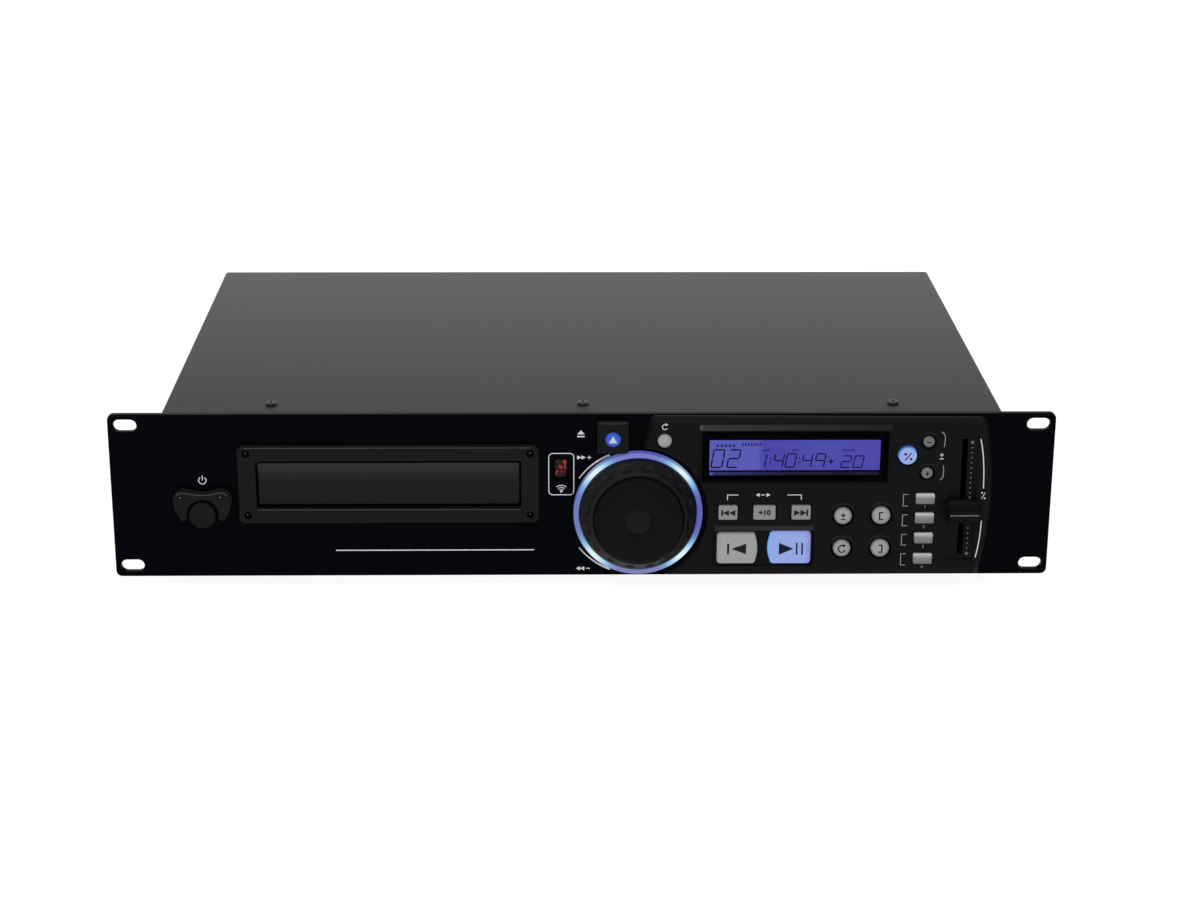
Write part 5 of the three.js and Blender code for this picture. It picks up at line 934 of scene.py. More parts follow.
for node in small_names:
    x, z, width, height = square_keys[node]
    finish = key_finish("small_" + node, usual_tone)
    rise = ((base_of(finish)[0].part("Z") - (z - height / 2)) * (1 / height)).clipped()
    recolour(finish, rise.looked_up(painted_light_stops))
    outline = lambda grow: sided(block(x, z, width, height, 0.8, grow))
    shape = cap_shape(outline, key_top, scooped_crown, x, z)
    for vert in shape.verts:
        if vert.co.y < -5.9:
            vert.co.y += along(wave, (vert.co.z - z) * 2 / height) - key_top
    key_cap(node, shape, finish, 60)
print("small keys:", len(small_names))

# %% [markdown]
# ## The jog wheel
#
# Three rings turn on one axis: a lit ring that stays put, the sprung shuttle ring with its finger dimples, and the
# dial in the middle. Anything turned is quickest as a profile spun round the axis. The dimples are pressed in
# afterwards by moving points, the way a thumb would press clay: each point near a dimple's centre sinks along the
# slope's normal, less and less towards the dimple's rim.

# %% The lit ring
ring_inner, ring_front = 30.4, ring_low.y
ring_profile = [(ring_inner, rear_y), (ring_inner, ring_front + 0.25), (ring_inner + 0.12, ring_front + 0.05),
                (ring_inner + 0.35, ring_front), (ring_outer - 0.55, ring_front),
                (ring_outer - 0.25, ring_front + 0.1), (ring_outer - 0.06, ring_front + 0.35),
                (ring_outer, ring_front + 0.8), (ring_outer, rear_y), (ring_inner, rear_y)]
lit_ring = turned_shape(ring_profile, jog_x, jog_z, 128)
print("ring profile:", len(ring_profile), "points")

# %% [markdown]
# Four lamps stand behind the ring, at 45 degrees and at every quarter turn from there. A cosine of four times the
# angle peaks at each of them, and a power makes its peaks narrow. The blue between the lamps differs a little from
# side to side and from top to bottom, and both rims are darker.

# %% Light of the ring
ring_light, shader, place = new_finish("ring_light")
aside, up, reach = from_centre(place, jog_x, jog_z)
angle = place.maths("ARCTAN2", up, aside)
east, north = place.maths("DIVIDE", aside, reach), place.maths("DIVIDE", up, reach)
above, under = north.clipped(), (0.0 - north).clipped()
wave_round = (0.5 + 0.5 * place.maths("COSINE", angle * 4.0 - math.pi)).clipped()
hot = place.maths("POWER", wave_round, 3.6)
base = (0.5 + 0.5 * east).mixed((0.147, 0.191, 0.445), (0.092, 0.106, 0.41))
base = (above * above).mixed(base, (0.168, 0.198, 0.546))
base = (under * under).mixed(base, (0.198, 0.212, 0.429))
halo = 0.36
warm = (hot * (1 / halo)).clipped().mixed(base, (0.23, 0.53, 0.75))
light = ((hot - halo) * (1 / (1 - halo))).clipped().mixed(warm, (0.75, 0.94, 0.92))
around = place.node("ShaderNodeCombineXYZ", {}, {0: angle * 30.0})
streaks = ((around.noise(1.0, 2.0) - 0.4) * 3.0).clipped()
light = (0.12 * streaks).mixed(light, (0.05, 0.06, 0.34))
outer_rim = ((reach - (ring_outer - 0.5)) * 2.0).clipped()
inner_rim = ((ring_inner + 0.5 - reach) * 2.0).clipped()
light = (0.7 * (outer_rim + inner_rim).clipped()).mixed(light, (0.05, 0.05, 0.33))
set_shader(shader, Emission_Color=light, Emission_Strength=1.0)
set_shader(shader, Base_Color=place.noise(4.0).mixed((0.012, 0.012, 0.03), (0.02, 0.02, 0.045)))
set_shader(shader, Roughness=0.3 + 0.1 * place.noise(3.0), Specular_IOR_Level=0.1)
publish("lit_ring", lit_ring, ring_light, "case", ("jog_light_ring",))

# %% The shuttle ring, turned
slope_run, slope_rise = 5.1, 6.25
slope = [(24.6 + slope_run * step / 18, -12.25 + slope_rise * step / 18) for step in range(19)]
shuttle_profile = [(10.3, -1.0), (10.3, -3.6), (23.0, -3.6), (23.0, -12.0), (23.15, -12.3), (23.5, -12.4)]
shuttle_profile += [(24.2, -12.38)] + slope + [(29.85, -5.7), (29.9, -5.4), (29.9, -1.0), (10.3, -1.0)]
shuttle = turned_shape(shuttle_profile, jog_x, jog_z, 240)
print("shuttle ring:", len(shuttle.verts), "points")

# %% Sixteen finger dimples pressed into it
dimples, first_dimple, dimple_depth = 16, math.radians(13.8), 1.1
half_wide, half_long, dimple_middle = 3.25, 2.75, 27.1
slope_normal = Vector((slope_rise, slope_run)).normalized()
stretch_out = math.hypot(slope_run, slope_rise) / slope_run
pitch_angle = 2 * math.pi / dimples
for vert in shuttle.verts:
    radius = math.hypot(vert.co.x - jog_x, vert.co.z - jog_z)
    if 24.25 < radius < 29.8 and vert.co.y < -5.8:
        turn = math.atan2(vert.co.z - jog_z, vert.co.x - jog_x)
        share = (turn - first_dimple) / pitch_angle
        aside = (share - round(share)) * pitch_angle * radius / half_wide
        out = (radius - dimple_middle) * stretch_out / half_long
        away = aside * aside + out * out
        if away < 1:
            sink = dimple_depth * (1 - away) ** 1.2
            vert.co.x -= sink * slope_normal.x * math.cos(turn)
            vert.co.z -= sink * slope_normal.x * math.sin(turn)
            vert.co.y += sink * slope_normal.y
# Painted shade: the shuttle ring's colour darkens towards its right side
place, plain = base_of(ring_plastic)
rightward = ((place.part("X") - (jog_x - 12.0)) * (1 / 38)).clipped()
recolour(ring_plastic, rightward.mixed(plain, (0.0030, 0.0031, 0.0038)))
publish("shuttle_wheel", shuttle, ring_plastic, "shuttle_ring", ("shuttle_ring",), 50)

# %% The dial and its cap
dial_profile = [(0, -14.85), (6.88, -14.85), (6.95, -15.08), (7.15, -15.2), (20.6, -15.2), (20.9, -15.08),
                (21.2, -15.08), (21.45, -15.2), (21.8, -15.18), (22.25, -14.9), (22.48, -14.3),
                (22.6, -13.0), (22.8, -12.0), (22.8, -6.4), (3.0, -6.4), (3.0, 11.15), (0, 11.15)]
dial = turned_shape(dial_profile, jog_x, jog_z, 128)
publish("dial_wheel", dial, dial_rubber, "jog_dial", ("jog_dial",))
cap_plastic = grained("cap_plastic", (0.0046, 0.0054, 0.0050), 0.5, 0.3, 0.03, Specular_IOR_Level=0.08)
cap_profile = [(0, -15.1), (6.3, -15.1), (6.6, -15.02), (6.7, -14.92), (6.7, -14.8), (0, -14.8)]
publish("dial_cap", turned_shape(cap_profile, jog_x, jog_z, 64), cap_plastic, "jog_dial")

# %% [markdown]
# ## Power button, guard and eject button
#
# The power button is a plain turned cap. The guard over it is a flat moulding with drooping lobes, whose packed
# outline is right, so a wider rounding is all it needs. The eject button is a square cap that swells forward in the
# middle, with a round lens let into it. Its stack begins at the floor of the lens well, opens into the circle of
# the well, and then blends step by step from that circle into the square.

# %% Power button and guard
power_x, power_z = middle("power_button").x, middle("power_button").z
power_profile = [(0, -6.72), (4.6, -6.76), (5.6, -6.86), (6.0, -7.0), (6.3, -6.95), (6.6, -6.7),
                 (6.7, -6.3), (6.7, 3.3), (8.0, 3.3), (8.0, 4.6), (2.2, 4.6), (2.2, 14.25), (0, 14.25)]
power_cap = turned_shape(power_profile, power_x, power_z, 80)
cap_black = grained("power_plastic", (0.0042, 0.0048, 0.0045), 0.42, 0.3, 0.03, Specular_IOR_Level=0.07)
# Painted highlight: the sides of the power cap are paler than its face
paler_sides(cap_black, -6.75, (0.012, 0.0132, 0.0126))
publish("power_cap", power_cap, cap_black, "power_button", ("power_button",))
guard_plastic = grained("guard_plastic", (0.0056, 0.0064, 0.0061), 0.45, 0.3, 0.03, Specular_IOR_Level=0.07)
# Painted highlight: the sides of the guard are paler than its face
paler_sides(guard_plastic, -5.35, (0.0125, 0.0137, 0.0131))
softened("button_guard", "power_guard", guard_plastic, 0.5, 4, 25)

# %% Eject button, from its lens well to its square edge
lens_x, lens_z = middle("eject_lens").x, middle("eject_lens").z
eject_x, eject_z, eject_wide, eject_high = lens_x, 76.25, 16.2, 16.1
flange_low, flange_high = panel_box("eject_button")
flange = sided(framed(flange_low.x, flange_high.x, flange_low.z, flange_high.z, 1.2), 6)


def lens_circle(radius, outline):
    points = []
    for x, z in outline:
        away = math.hypot(x - lens_x, z - lens_z)
        points.append((lens_x + (x - lens_x) * radius / away, lens_z + (z - lens_z) * radius / away))
    return points


def blended(first, second, share):
    return [(ax + (bx - ax) * share, az + (bz - az) * share) for (ax, az), (bx, bz) in zip(first, second)]


cap_outline = lambda grow: sided(block(eject_x, eject_z, eject_wide, eject_high, 1.2, grow), 6)
eject_front = -6.0
cap_edge = stacked(cap_outline, rounded_edge(eject_front, 0.9, 3.3, 5))
square = cap_edge[0][1]
well_mouth = lens_circle(4.35, square)
cap_layers = [(-3.6, lens_circle(4.1, square)), (-5.85, lens_circle(4.15, square)), (eject_front, well_mouth)]
cap_layers += [(eject_front, blended(well_mouth, square, share)) for share in (0.3, 0.65)]
stem = sided(block(eject_x, eject_z, 3.0, 3.0, 0.8), 6)
cap_layers += cap_edge + [(3.3, flange), (4.6, flange), (4.6, stem), (8.35, stem)]
eject_cap = plate([cap_layers], build=matched_walls)
swell = 1.4
for vert in eject_cap.verts:
    if vert.co.y < -4.9:
        vert.co.y += swell * ((vert.co.x - eject_x) * 2 / eject_wide) ** 2
eject_plastic = grained("eject_plastic", (0.0046, 0.0049, 0.0056), 0.42, 0.3, 0.03, Specular_IOR_Level=0.07)
# Painted highlight: the sides of the eject cap are paler than its face
paler_sides(eject_plastic, -4.6, (0.011, 0.0118, 0.0122))
publish("eject_cap", eject_cap, eject_plastic, "eject_button", ("eject_button",), 30)

# %% The lens and its sign
lens_stops = [(0.0, (0.020, 0.085, 0.50)), (0.6, (0.016, 0.070, 0.44)), (0.85, (0.006, 0.030, 0.26)),
              (1.0, (0.002, 0.008, 0.09))]
lens_share = outward_share(lens_x, lens_z, 3.95)
lens_blue = glowing("lens_blue", lens_share, lens_stops, (0.01, 0.03, 0.12), (0.02, 0.05, 0.16))
lens_profile = [(0, -6.12), (3.3, -6.12), (3.7, -6.05), (3.93, -5.8), (3.93, -3.7), (0, -3.7)]
lens_disc = turned_shape(lens_profile, lens_x, lens_z, 64)
publish("eject_lens_disc", lens_disc, lens_blue, "eject_button", ("eject_lens",))
sign_pale = grained("sign_pale", (0.50, 0.53, 0.66), 0.5, 0.3, 0.01, 0.05, Specular_IOR_Level=0.3)


def triangle(x, z, half, rise):
    return [(x, z + rise / 2), (x + half, z - rise / 2), (x - half, z - rise / 2)]


def slab(outline, front, thickness):
    return plate([[(front, outline), (front + thickness, outline)]])


eject_sign = slab(triangle(lens_x, lens_z + 0.15, 2.15, 3.7), -6.3, 0.3)
publish("eject_sign", eject_sign, sign_pale, "eject_button")

# %% [markdown]
# ## The remote-sensor window
#
# Behind a dark red pane sits a small receiver that only shows as a few warm glints. The pane gets a dark red base
# and painted glints, a faint glow in patches, which is cheaper than real glass and looks the same at this size.

# %% Sensor pane
sensor_x, sensor_z = middle("sensor_window").x, middle("sensor_window").z
sensor_pane_red, shader, place = new_finish("sensor_pane_red")
# Painted glints of the receiver behind the pane
glint = ((place.moved(offset=(3.1, 0, 1.4)).noise(2.4, 3.0) - 0.53) * 9.0).clipped()
glint_light = glint.mixed((0.003, 0.0003, 0.0003), (0.36, 0.030, 0.010))
set_shader(shader, Base_Color=place.noise(4.0).mixed((0.004, 0.001, 0.001), (0.008, 0.002, 0.002)))
set_shader(shader, Emission_Color=glint_light, Emission_Strength=1.0)
set_shader(shader, Roughness=0.15 + 0.1 * place.noise(2.0), Specular_IOR_Level=0.15)
pane_outline = lambda grow: block(sensor_x, sensor_z, 5.5, 8.9, 0.8, grow)
pane_edge = [(-0.12, -0.35), (-0.1, -0.2), (0.0, -0.05), (3.2, -0.05), (3.2, 1.2), (4.4, 1.2)]
sensor_pane = plate([stacked(pane_outline, pane_edge)])
publish("sensor_pane", sensor_pane, sensor_pane_red, "case", ("sensor_window",))

# %% [markdown]
# ## The display
#
# The lit screen is a blue-violet sheet behind a black mask, with dark slanted digits in front of it and a clear
# pane over everything. The digits are real seven-segment shapes: each segment is a thin bar with pointed ends, and
# the whole digit is sheared to lean right, as on any such display. Below the screen lies a painted reflection of its
# light: a dim glowing copy where the mask's lower edge mirrors it.

# %% Lit screen and its painted reflection below
screen_left, screen_right, screen_low, screen_high = 64.4, 152.0, 57.95, 74.5
screen_wide = screen_right - screen_left
screen_stops = [(0.0, (0.105, 0.106, 0.48)), (0.285, (0.098, 0.101, 0.47)), (0.315, (0.064, 0.054, 0.395)),
                (0.65, (0.073, 0.072, 0.425)), (1.0, (0.069, 0.060, 0.40))]
mirror_stops = [(0.0, (0.10, 0.105, 0.42)), (0.035, (0.028, 0.029, 0.145)), (0.5, (0.009, 0.009, 0.022)),
                (1.0, (0.010, 0.008, 0.020))]
unlit_dark, unlit_light = (0.008, 0.008, 0.02), (0.012, 0.012, 0.03)
mirror_dark, mirror_pale = (0.002, 0.002, 0.004), (0.003, 0.003, 0.006)
screen_share = sideways_share(screen_left, screen_wide)
screen_light = glowing("screen_light", screen_share, screen_stops, unlit_dark, unlit_light, 0.05)
mirror_light = glowing("mirror_light", screen_share, mirror_stops, mirror_dark, mirror_pale, 0.05)
screen = slab(framed(screen_left, screen_right, screen_low, screen_high, 0.3), -1.64, 0.07)
publish("lit_screen", screen, screen_light, "case")
# Painted reflection of the screen's light on the mask's lower edge
mirror = slab(framed(screen_left + 0.3, screen_right - 0.6, 55.4, 57.2, 0.3), -1.84, 0.05)
publish("screen_mirror", mirror, mirror_light, "case")

# %% Black mask and clear pane
window_hole = framed(screen_left + 0.1, screen_right - 0.1, screen_low + 0.1, screen_high - 0.1, 0.3)
mask_rim = framed(pane_low.x + 0.05, pane_high.x - 0.05, pane_low.z + 0.05, pane_high.z - 0.05, 0.5)
mask = plate([[(y, outline) for y in (-1.78, -1.66)] for outline in (mask_rim, window_hole)])
publish("screen_mask", mask, mask_black, "case")
pane_clear, shader, place = new_finish("pane_clear")
set_shader(shader, Base_Color=place.noise(20.0).mixed((0.001, 0.001, 0.002), (0.002, 0.002, 0.003)))
set_shader(shader, Roughness=0.05 + 0.04 * place.noise(9.0), Alpha=0.05, Specular_IOR_Level=0.04)
clear_outline = lambda grow: framed(
    pane_low.x - grow, pane_high.x + grow, pane_low.z - grow, pane_high.z + grow, 0.5)
clear_pane = plate([stacked(clear_outline, rounded_edge(-3.18, 0.15, -1.8, 2))])
publish("display_pane", clear_pane, pane_clear, "case", ("lcd_window",))

# %% How a seven-segment digit is built
SEGMENTS = {"0": "abcdef", "1": "bc", "2": "abged", "4": "fgbc", "9": "abcfg"}
ENDS = {"a": (-1, 1, 1, 1), "b": (1, 1, 1, 0), "c": (1, 0, 1, -1), "d": (1, -1, -1, -1), "e": (-1, -1, -1, 0),
        "f": (-1, 0, -1, 1), "g": (-1, 0, 1, 0)}
lean = 0.17


def segment(x0, z0, x1, z1, thick):
    long_x, long_z = x1 - x0, z1 - z0
    length = math.hypot(long_x, long_z)
    unit_x, unit_z = long_x / length, long_z / length
    half = thick / 2
    far = length - half
    corners = ((0, 0), (half, half), (far, half), (length, 0), (far, -half), (half, -half))
    return [(x0 + unit_x * on - unit_z * off, z0 + unit_z * on + unit_x * off) for on, off in corners]


def digit(figure, x, z, width, height, thick):
    bars = []
    for letter in SEGMENTS[figure]:
        x0, z0, x1, z1 = ENDS[letter]
        gap_x = thick * 0.12 * (x1 - x0) / 2 if z0 == z1 else 0
        gap_z = thick * 0.12 * (z1 - z0)
        outline = segment(x0 * width / 2 + gap_x, z0 * height / 2 + gap_z,
                          x1 * width / 2 - gap_x, z1 * height / 2 - gap_z, thick)
        bars.append([(x + px + lean * pz, z + pz) for px, pz in outline])
    return bars


print("digits that can be drawn:", " ".join(SEGMENTS))

# %% The figures on the screen
lcd_ink = grained("lcd_ink", (0.0035, 0.0030, 0.035), 0.5, 0.4, 0.005, 0.1, Specular_IOR_Level=0.05)
lcd_faint = grained("lcd_faint", (0.030, 0.026, 0.21), 0.5, 0.4, 0.005, 0.1, Specular_IOR_Level=0.05)
groups = (
    ((("0", 68.8), ("2", 77.0)), (64.4, 5.5, 9.5, 0.76)),
    ((("1", 91.0), ("4", 100.0), ("0", 106.2), ("4", 114.5), ("9", 121.2)), (63.3, 4.7, 7.2, 0.68)),
    ((("2", 134.6), ("0", 140.9)), (62.6, 4.6, 6.2, 0.62)),
)
bars = []
for figures_across, size in groups:
    for figure, x in figures_across:
        bars += digit(figure, x, *size)
for x in (95.7, 110.4):
    for z in (62.2, 64.4):
        bars.append(block(x + lean * (z - 63.3), z, 0.7, 0.7, 0.1))
bars.append(segment(125.2, 62.8, 128.4, 62.8, 0.62))
bars.append(segment(126.8, 61.2, 126.8, 64.4, 0.62))
digits = joined([slab(bar, -1.72, 0.05) for bar in bars])
publish("display_digits", digits, lcd_ink, "case")

# %% Rows of little marks above the figures
rows = ((67.5, 71.3, 5, 2.1, 1.5), (80.6, 72.0, 7, 1.5, 1.6), (91.6, 68.9, 3, 1.3, 1.2),
        (106.6, 68.9, 3, 1.3, 1.2), (132.0, 68.9, 5, 1.4, 1.3))
marks = []
for x, z, count, pitch, size in rows:
    marks += [block(x + pitch * (step + 0.5), z, pitch * 0.6, size, 0.1) for step in range(count)]
faint_marks = joined([slab(mark, -1.70, 0.03) for mark in marks])
publish("display_marks", faint_marks, lcd_faint, "case")

# %% [markdown]
# ## The pitch fader knob
#
# The knob is a wide wedge that narrows to a ridge, hollowed above and below so that a fingertip pushes against it.
# A pale line is printed along the ridge to read the scale by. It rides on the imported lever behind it.

# %% Knob and its line
knob_x, knob_z = middle("pitch_fader_knob").x, middle("pitch_fader_knob").z
# Each step: how far forward, how wide, how high, and the radius of its corners
knob_steps = [(-13.0, 14.9, 4.1, 0.5), (-12.85, 15.1, 4.5, 0.6), (-12.5, 15.2, 4.8, 0.7),
              (-11.4, 15.3, 5.6, 0.8), (-10.0, 15.4, 7.2, 0.9), (-8.6, 15.6, 9.6, 1.1),
              (-7.5, 15.8, 12.2, 1.3), (-6.9, 15.9, 13.0, 1.4), (-5.75, 15.9, 13.0, 1.4),
              (-5.5, 15.4, 12.5, 1.2)]
knob_layers = [(y, block(knob_x, knob_z, *size)) for y, *size in knob_steps]
lever = [(y, block(knob_x, knob_z, 2.2, 4.4, 0.2)) for y in (-5.5, 9.5)]
fader_cap = plate([knob_layers + lever])
knob_black = grained("knob_black", (0.0036, 0.0037, 0.0042), 0.42, 0.3, 0.03, Specular_IOR_Level=0.05)
publish("fader_cap", fader_cap, knob_black, "pitch_fader", ("pitch_fader_knob",), 35)
knob_line = slab(block(knob_x, knob_z, 14.8, 0.44, 0.1), -13.06, 0.1)
knob_paint = grained("knob_paint", grey(0.19), 0.5, 0.3, 0.01, 0.1, Specular_IOR_Level=0.1)
publish("fader_line", knob_line, knob_paint, "pitch_fader")

# %% [markdown]
# ## Screws
#
# A screw head is a low dome with a cross cut into it. The dome is a stack of circles, and the cross is a pocket
# in its flat middle. One head is made and copied to each place, which is also how a real screw box works.

# %% Cross-head screws
def cross(size, arm):
    half, slot = size / 2, arm / 2
    right = [(half, -slot), (half, slot), (slot, slot)]
    top = [(slot, half), (-slot, half), (-slot, slot)]
    left = [(-half, slot), (-half, -slot), (-slot, -slot)]
    foot = [(-slot, -half), (slot, -half), (slot, -slot)]
    return right + top + left + foot


def screw_head(radius, rise, depth):
    dome = [(-rise, 0.62), (-rise * 0.93, 0.8), (-rise * 0.7, 0.93), (-rise * 0.35, 0.99), (depth, 1.0)]
    layers = [(y, circle(0, 0, radius * share, steps=32)) for y, share in dome]
    recess = [(-rise, cross(radius * 1.1, radius * 0.3)), (-rise * 0.15, cross(radius * 0.8, radius * 0.2))]
    return plate([layers], [(recess, [])])


def screws(name, radius, rise, depth, places, finish, turn=None):
    head = screw_head(radius, rise, depth)
    if turn is not None:
        bmesh.ops.rotate(head, cent=(0, 0, 0), matrix=turn, verts=head.verts)
    return publish(name, repeated(head, places), finish, "case")


print("cross recess:", len(cross(1.0, 0.3)), "corners")

# %% Screws on the front
guard_front = -6.0
guard_holes = [(-205.4, 45.1), (-184.9, 45.3)]
panel_holes = [(-203.2, 80.6), (-203.2, 6.6), (-12.2, 80.4), (-12.2, 6.6)]
screws("frame_screws", 1.8, 0.6, 0.0, [(x, -1.65, z) for x, z in frame_screws], deep_black)
screws("guard_screws", 1.3, 0.25, 0.2, [(x, guard_front, z) for x, z in guard_holes], frame_moulding)
screws("panel_screws", 2.3, 0.25, 0.1, [(x, 0, z) for x, z in panel_holes], panel_paint)

# %% Screws on the cover and at the rear
upright = Matrix.Rotation(math.radians(-90), 3, "X")
cover_screws = [(x, 17.7, cover_top) for x in (-160, 0, 160)]
screws("cover_screws", 3.0, 1.7, 0.1, cover_screws, screw_black, turn=upright)
for side, name in ((-1, "left"), (1, "right")):
    outward = Matrix.Rotation(math.radians(90 * side), 3, "Z")
    places = [(side * cover_half, y, 12.0) for y in (30.0, 140.0, 250.0)]
    screws("side_screws_" + name, 2.9, 1.5, 0.1, places, screw_black, turn=outward)
backward = Matrix.Rotation(math.radians(180), 3, "Z")
rear_places = [(x, cover_rear, 80.0) for x in (-200.0, 0.0, 200.0)]
rear_places += [(x, cover_rear + 1.5, 44.0) for x in (143.0, 113.0)]
screws("rear_screws", 2.5, 1.3, 0.1, rear_places, screw_black, turn=backward)

# %% [markdown]
# ## Printed marks
#
# The legends on the real thing are a thin layer of ink. Here each mark is a plate a few hundredths of a millimetre
# thick, lying on its surface, so it casts no visible edge but never flickers. Only plain signs and numbers are
# used: they say what a control does in any language.

# %% Lines, curves and signs as thin plates
def stroke(points, width):
    half = width / 2
    left, right = [], []
    for index, (x, z) in enumerate(points):
        before = points[max(index - 1, 0)]
        after = points[min(index + 1, len(points) - 1)]
        first = Vector((x - before[0], z - before[1]))
        second = Vector((after[0] - x, after[1] - z))
        first = first.normalized() if first.length else second.normalized()
        second = second.normalized() if second.length else first
        along = (first + second).normalized()
        reach = half / max(along.dot(first), 0.4)
        left.append((x - along.y * reach, z + along.x * reach))
        right.append((x + along.y * reach, z - along.x * reach))
    return left + right[::-1]


def ink(name, outlines, surface, finish, body, thickness=0.05):
    marks = [slab(outline, surface - thickness, thickness + 0.02) for outline in outlines]
    return publish(name, joined(marks), finish, body)


print("strokes and ink ready")

# %% Numbers, arrows and other signs
def figures(text, x, z, height, surface, bold=0.0):
    curve = bpy.data.curves.new("figures", "FONT")
    curve.body = text
    curve.size = height / 0.72
    curve.align_x = "CENTER"
    curve.align_y = "CENTER"
    curve.extrude = 0.03
    curve.offset = bold
    curve.resolution_u = 3
    writer = bpy.data.objects.new("figures", curve)
    mesh = bpy.data.meshes.new_from_object(writer)
    shape = bmesh.new()
    shape.from_mesh(mesh)
    bmesh.ops.remove_doubles(shape, verts=shape.verts, dist=1e-5)
    upright = Matrix.Rotation(math.radians(90), 3, "X")
    bmesh.ops.rotate(shape, cent=(0, 0, 0), matrix=upright, verts=shape.verts)
    bmesh.ops.translate(shape, vec=(x, surface - 0.025, z), verts=shape.verts)
    bpy.data.objects.remove(writer)
    bpy.data.curves.remove(curve)
    bpy.data.meshes.remove(mesh)
    return shape


def level(x, z, size, width):
    return stroke([(x - size / 2, z), (x + size / 2, z)], width)


def upright_bar(x, z, size, width):
    return stroke([(x, z - size / 2), (x, z + size / 2)], width)


def plus(x, z, size, width):
    return [level(x, z, size, width), upright_bar(x, z, size, width)]


def pointer(x, z, half, side):
    return [(x - side * half, z - half), (x - side * half, z + half), (x + side * half, z)][::side]


print("ink helpers ready")

# %% White signs on the steel front
on_steel = [stroke([(-127.6, 14.0), (-25.3, 14.0)], 0.55)]
window_line = block(-11.2, 55.55, 12.8, 22.5, 2.0)
on_steel.append(stroke(window_line[20:] + window_line[:22], 0.45))
# Power sign: a ring with a gap at the top and a bar in it
on_steel.append(stroke(arc(-194.6, 52.6, 1.9, 125, 415, 28), 0.5))
on_steel.append(upright_bar(-194.6, 53.95, 2.5, 0.5))
# Eject sign beside the button: a triangle over a bar
on_steel.append(triangle(-1.2, 78.2, 1.9, 2.2))
on_steel.append(level(-1.2, 75.9, 3.8, 0.7))
# Remote sign: three waves from a dot
on_steel.append(circle(-11.2, 46.1, 0.55, steps=16))
on_steel += [stroke(arc(-11.2, 45.6, radius, 50, 130, 10), 0.42) for radius in (1.5, 2.7, 3.9)]
print("signs on the steel:", len(on_steel))


# %% Forward and backward arcs beside the jog wheel
def sweep(start, stop, first, last):
    sides = {1: [], -1: []}
    for step in range(21):
        share = step / 20
        turn = math.radians(start + (stop - start) * share)
        for side, line in sides.items():
            radius = first + (last - first) * share + side * (0.22 + 0.35 * share)
            line.append((jog_x + radius * math.cos(turn), jog_z + radius * math.sin(turn)))
    return sides[1] + sides[-1][::-1]


on_steel += [sweep(149.1, 115.4, 35.3, 34.1), sweep(213.2, 246.0, 36.2, 34.9)]
on_steel += [pointer(x, 64.6, 1.1, 1) for x in (-2.0, 0.2)] + plus(3.1, 64.6, 2.0, 0.45)
on_steel += [pointer(x, 3.6, 1.1, -1) for x in (-2.6, -0.4)] + [level(2.6, 3.6, 2.0, 0.45)]
ink("front_print", on_steel, 0.0, white_ink, "case")

# %% White marks on the moulding
back_x = square_keys["key_search_back"][0] - 0.4
forward_x = square_keys["key_search_forward"][0] - 0.1
on_moulding = [stroke([(back_x, 43.1), (back_x, 45.8), (79.4, 45.8)], 0.4)]
on_moulding.append(stroke([(104.7, 45.75), (forward_x, 45.75), (forward_x, 43.2)], 0.4))
on_moulding += [pointer(89.4, 45.8, 1.0, -1), level(92.2, 45.8, 2.0, 0.45), pointer(95.0, 45.8, 1.0, 1)]
# A turning arrow over the jog-mode key
mode_x = round_keys["key_jog_mode"][0]
on_moulding.append(stroke(arc(mode_x, 82.6, 1.35, 60, 330, 20), 0.4))
on_moulding.append(pointer(mode_x + 0.9, 83.85, 0.75, 1))
on_moulding += plus(182.9, 67.3, 1.9, 0.42) + [level(182.9, 65.2, 1.9, 0.42)]
ink("moulding_print", on_moulding, face_y, white_ink, "case")

# %% Grey brackets, hooks and numbers on the moulding
bracket_ends = ((39.5, 45.9), (28.7, 34.7), (18.0, 23.9), (7.0, 13.2))
brackets = []
for low, high in bracket_ends:
    brackets.append(stroke([(166.8, high), (164.3, high), (164.3, low), (166.8, low)], 0.38))
hook_up = arc(180.4, 76.3, 3.9, 62, 0, 8) + [(184.25, 74.2), (183.9, 71.6)]
hook_down = [(183.9, 61.6), (184.25, 59.0), (184.2, 56.8)] + arc(181.2, 56.4, 2.95, -5, -62, 6)
brackets += [stroke(hook_up, 0.42), stroke(hook_down, 0.42)]
ink("bracket_print", brackets, face_y, grey_ink_and_glint, "case")
numbers = [figures(str(count + 1), 175.5, z, 1.7, face_y) for count, z in enumerate((39.0, 28.1, 17.1, 5.75))]
publish("key_numbers", joined(numbers), grey_ink_and_glint, "case")

# %% The fader's scale, in its recess
scale_x = 198.5
scale = [circle(scale_x, 70.9 - 2.733 * step, 0.3, steps=14) for step in range(10)]
scale += [level(scale_x, z, 1.6, 0.34) for z in (73.3, 74.1)]
scale += [circle(scale_x, 29.7 - 2.76 * step, 0.3, steps=14) for step in range(6)]
scale += plus(scale_x, 12.9, 1.7, 0.42)
ink("scale_print", scale, recess_floor, grey_ink_and_glint, "case")
publish("scale_zero", figures("0", scale_x, 43.6, 1.7, recess_floor), grey_ink_and_glint, "case")


# %% Bowed lines along the moulding's right edge
def bowed(low, high):
    heights = [low + (high - low) * step / 16 for step in range(17)]
    return [(205.2 - 7.4e-5 * abs(z - 42.4) ** 3, z) for z in heights]


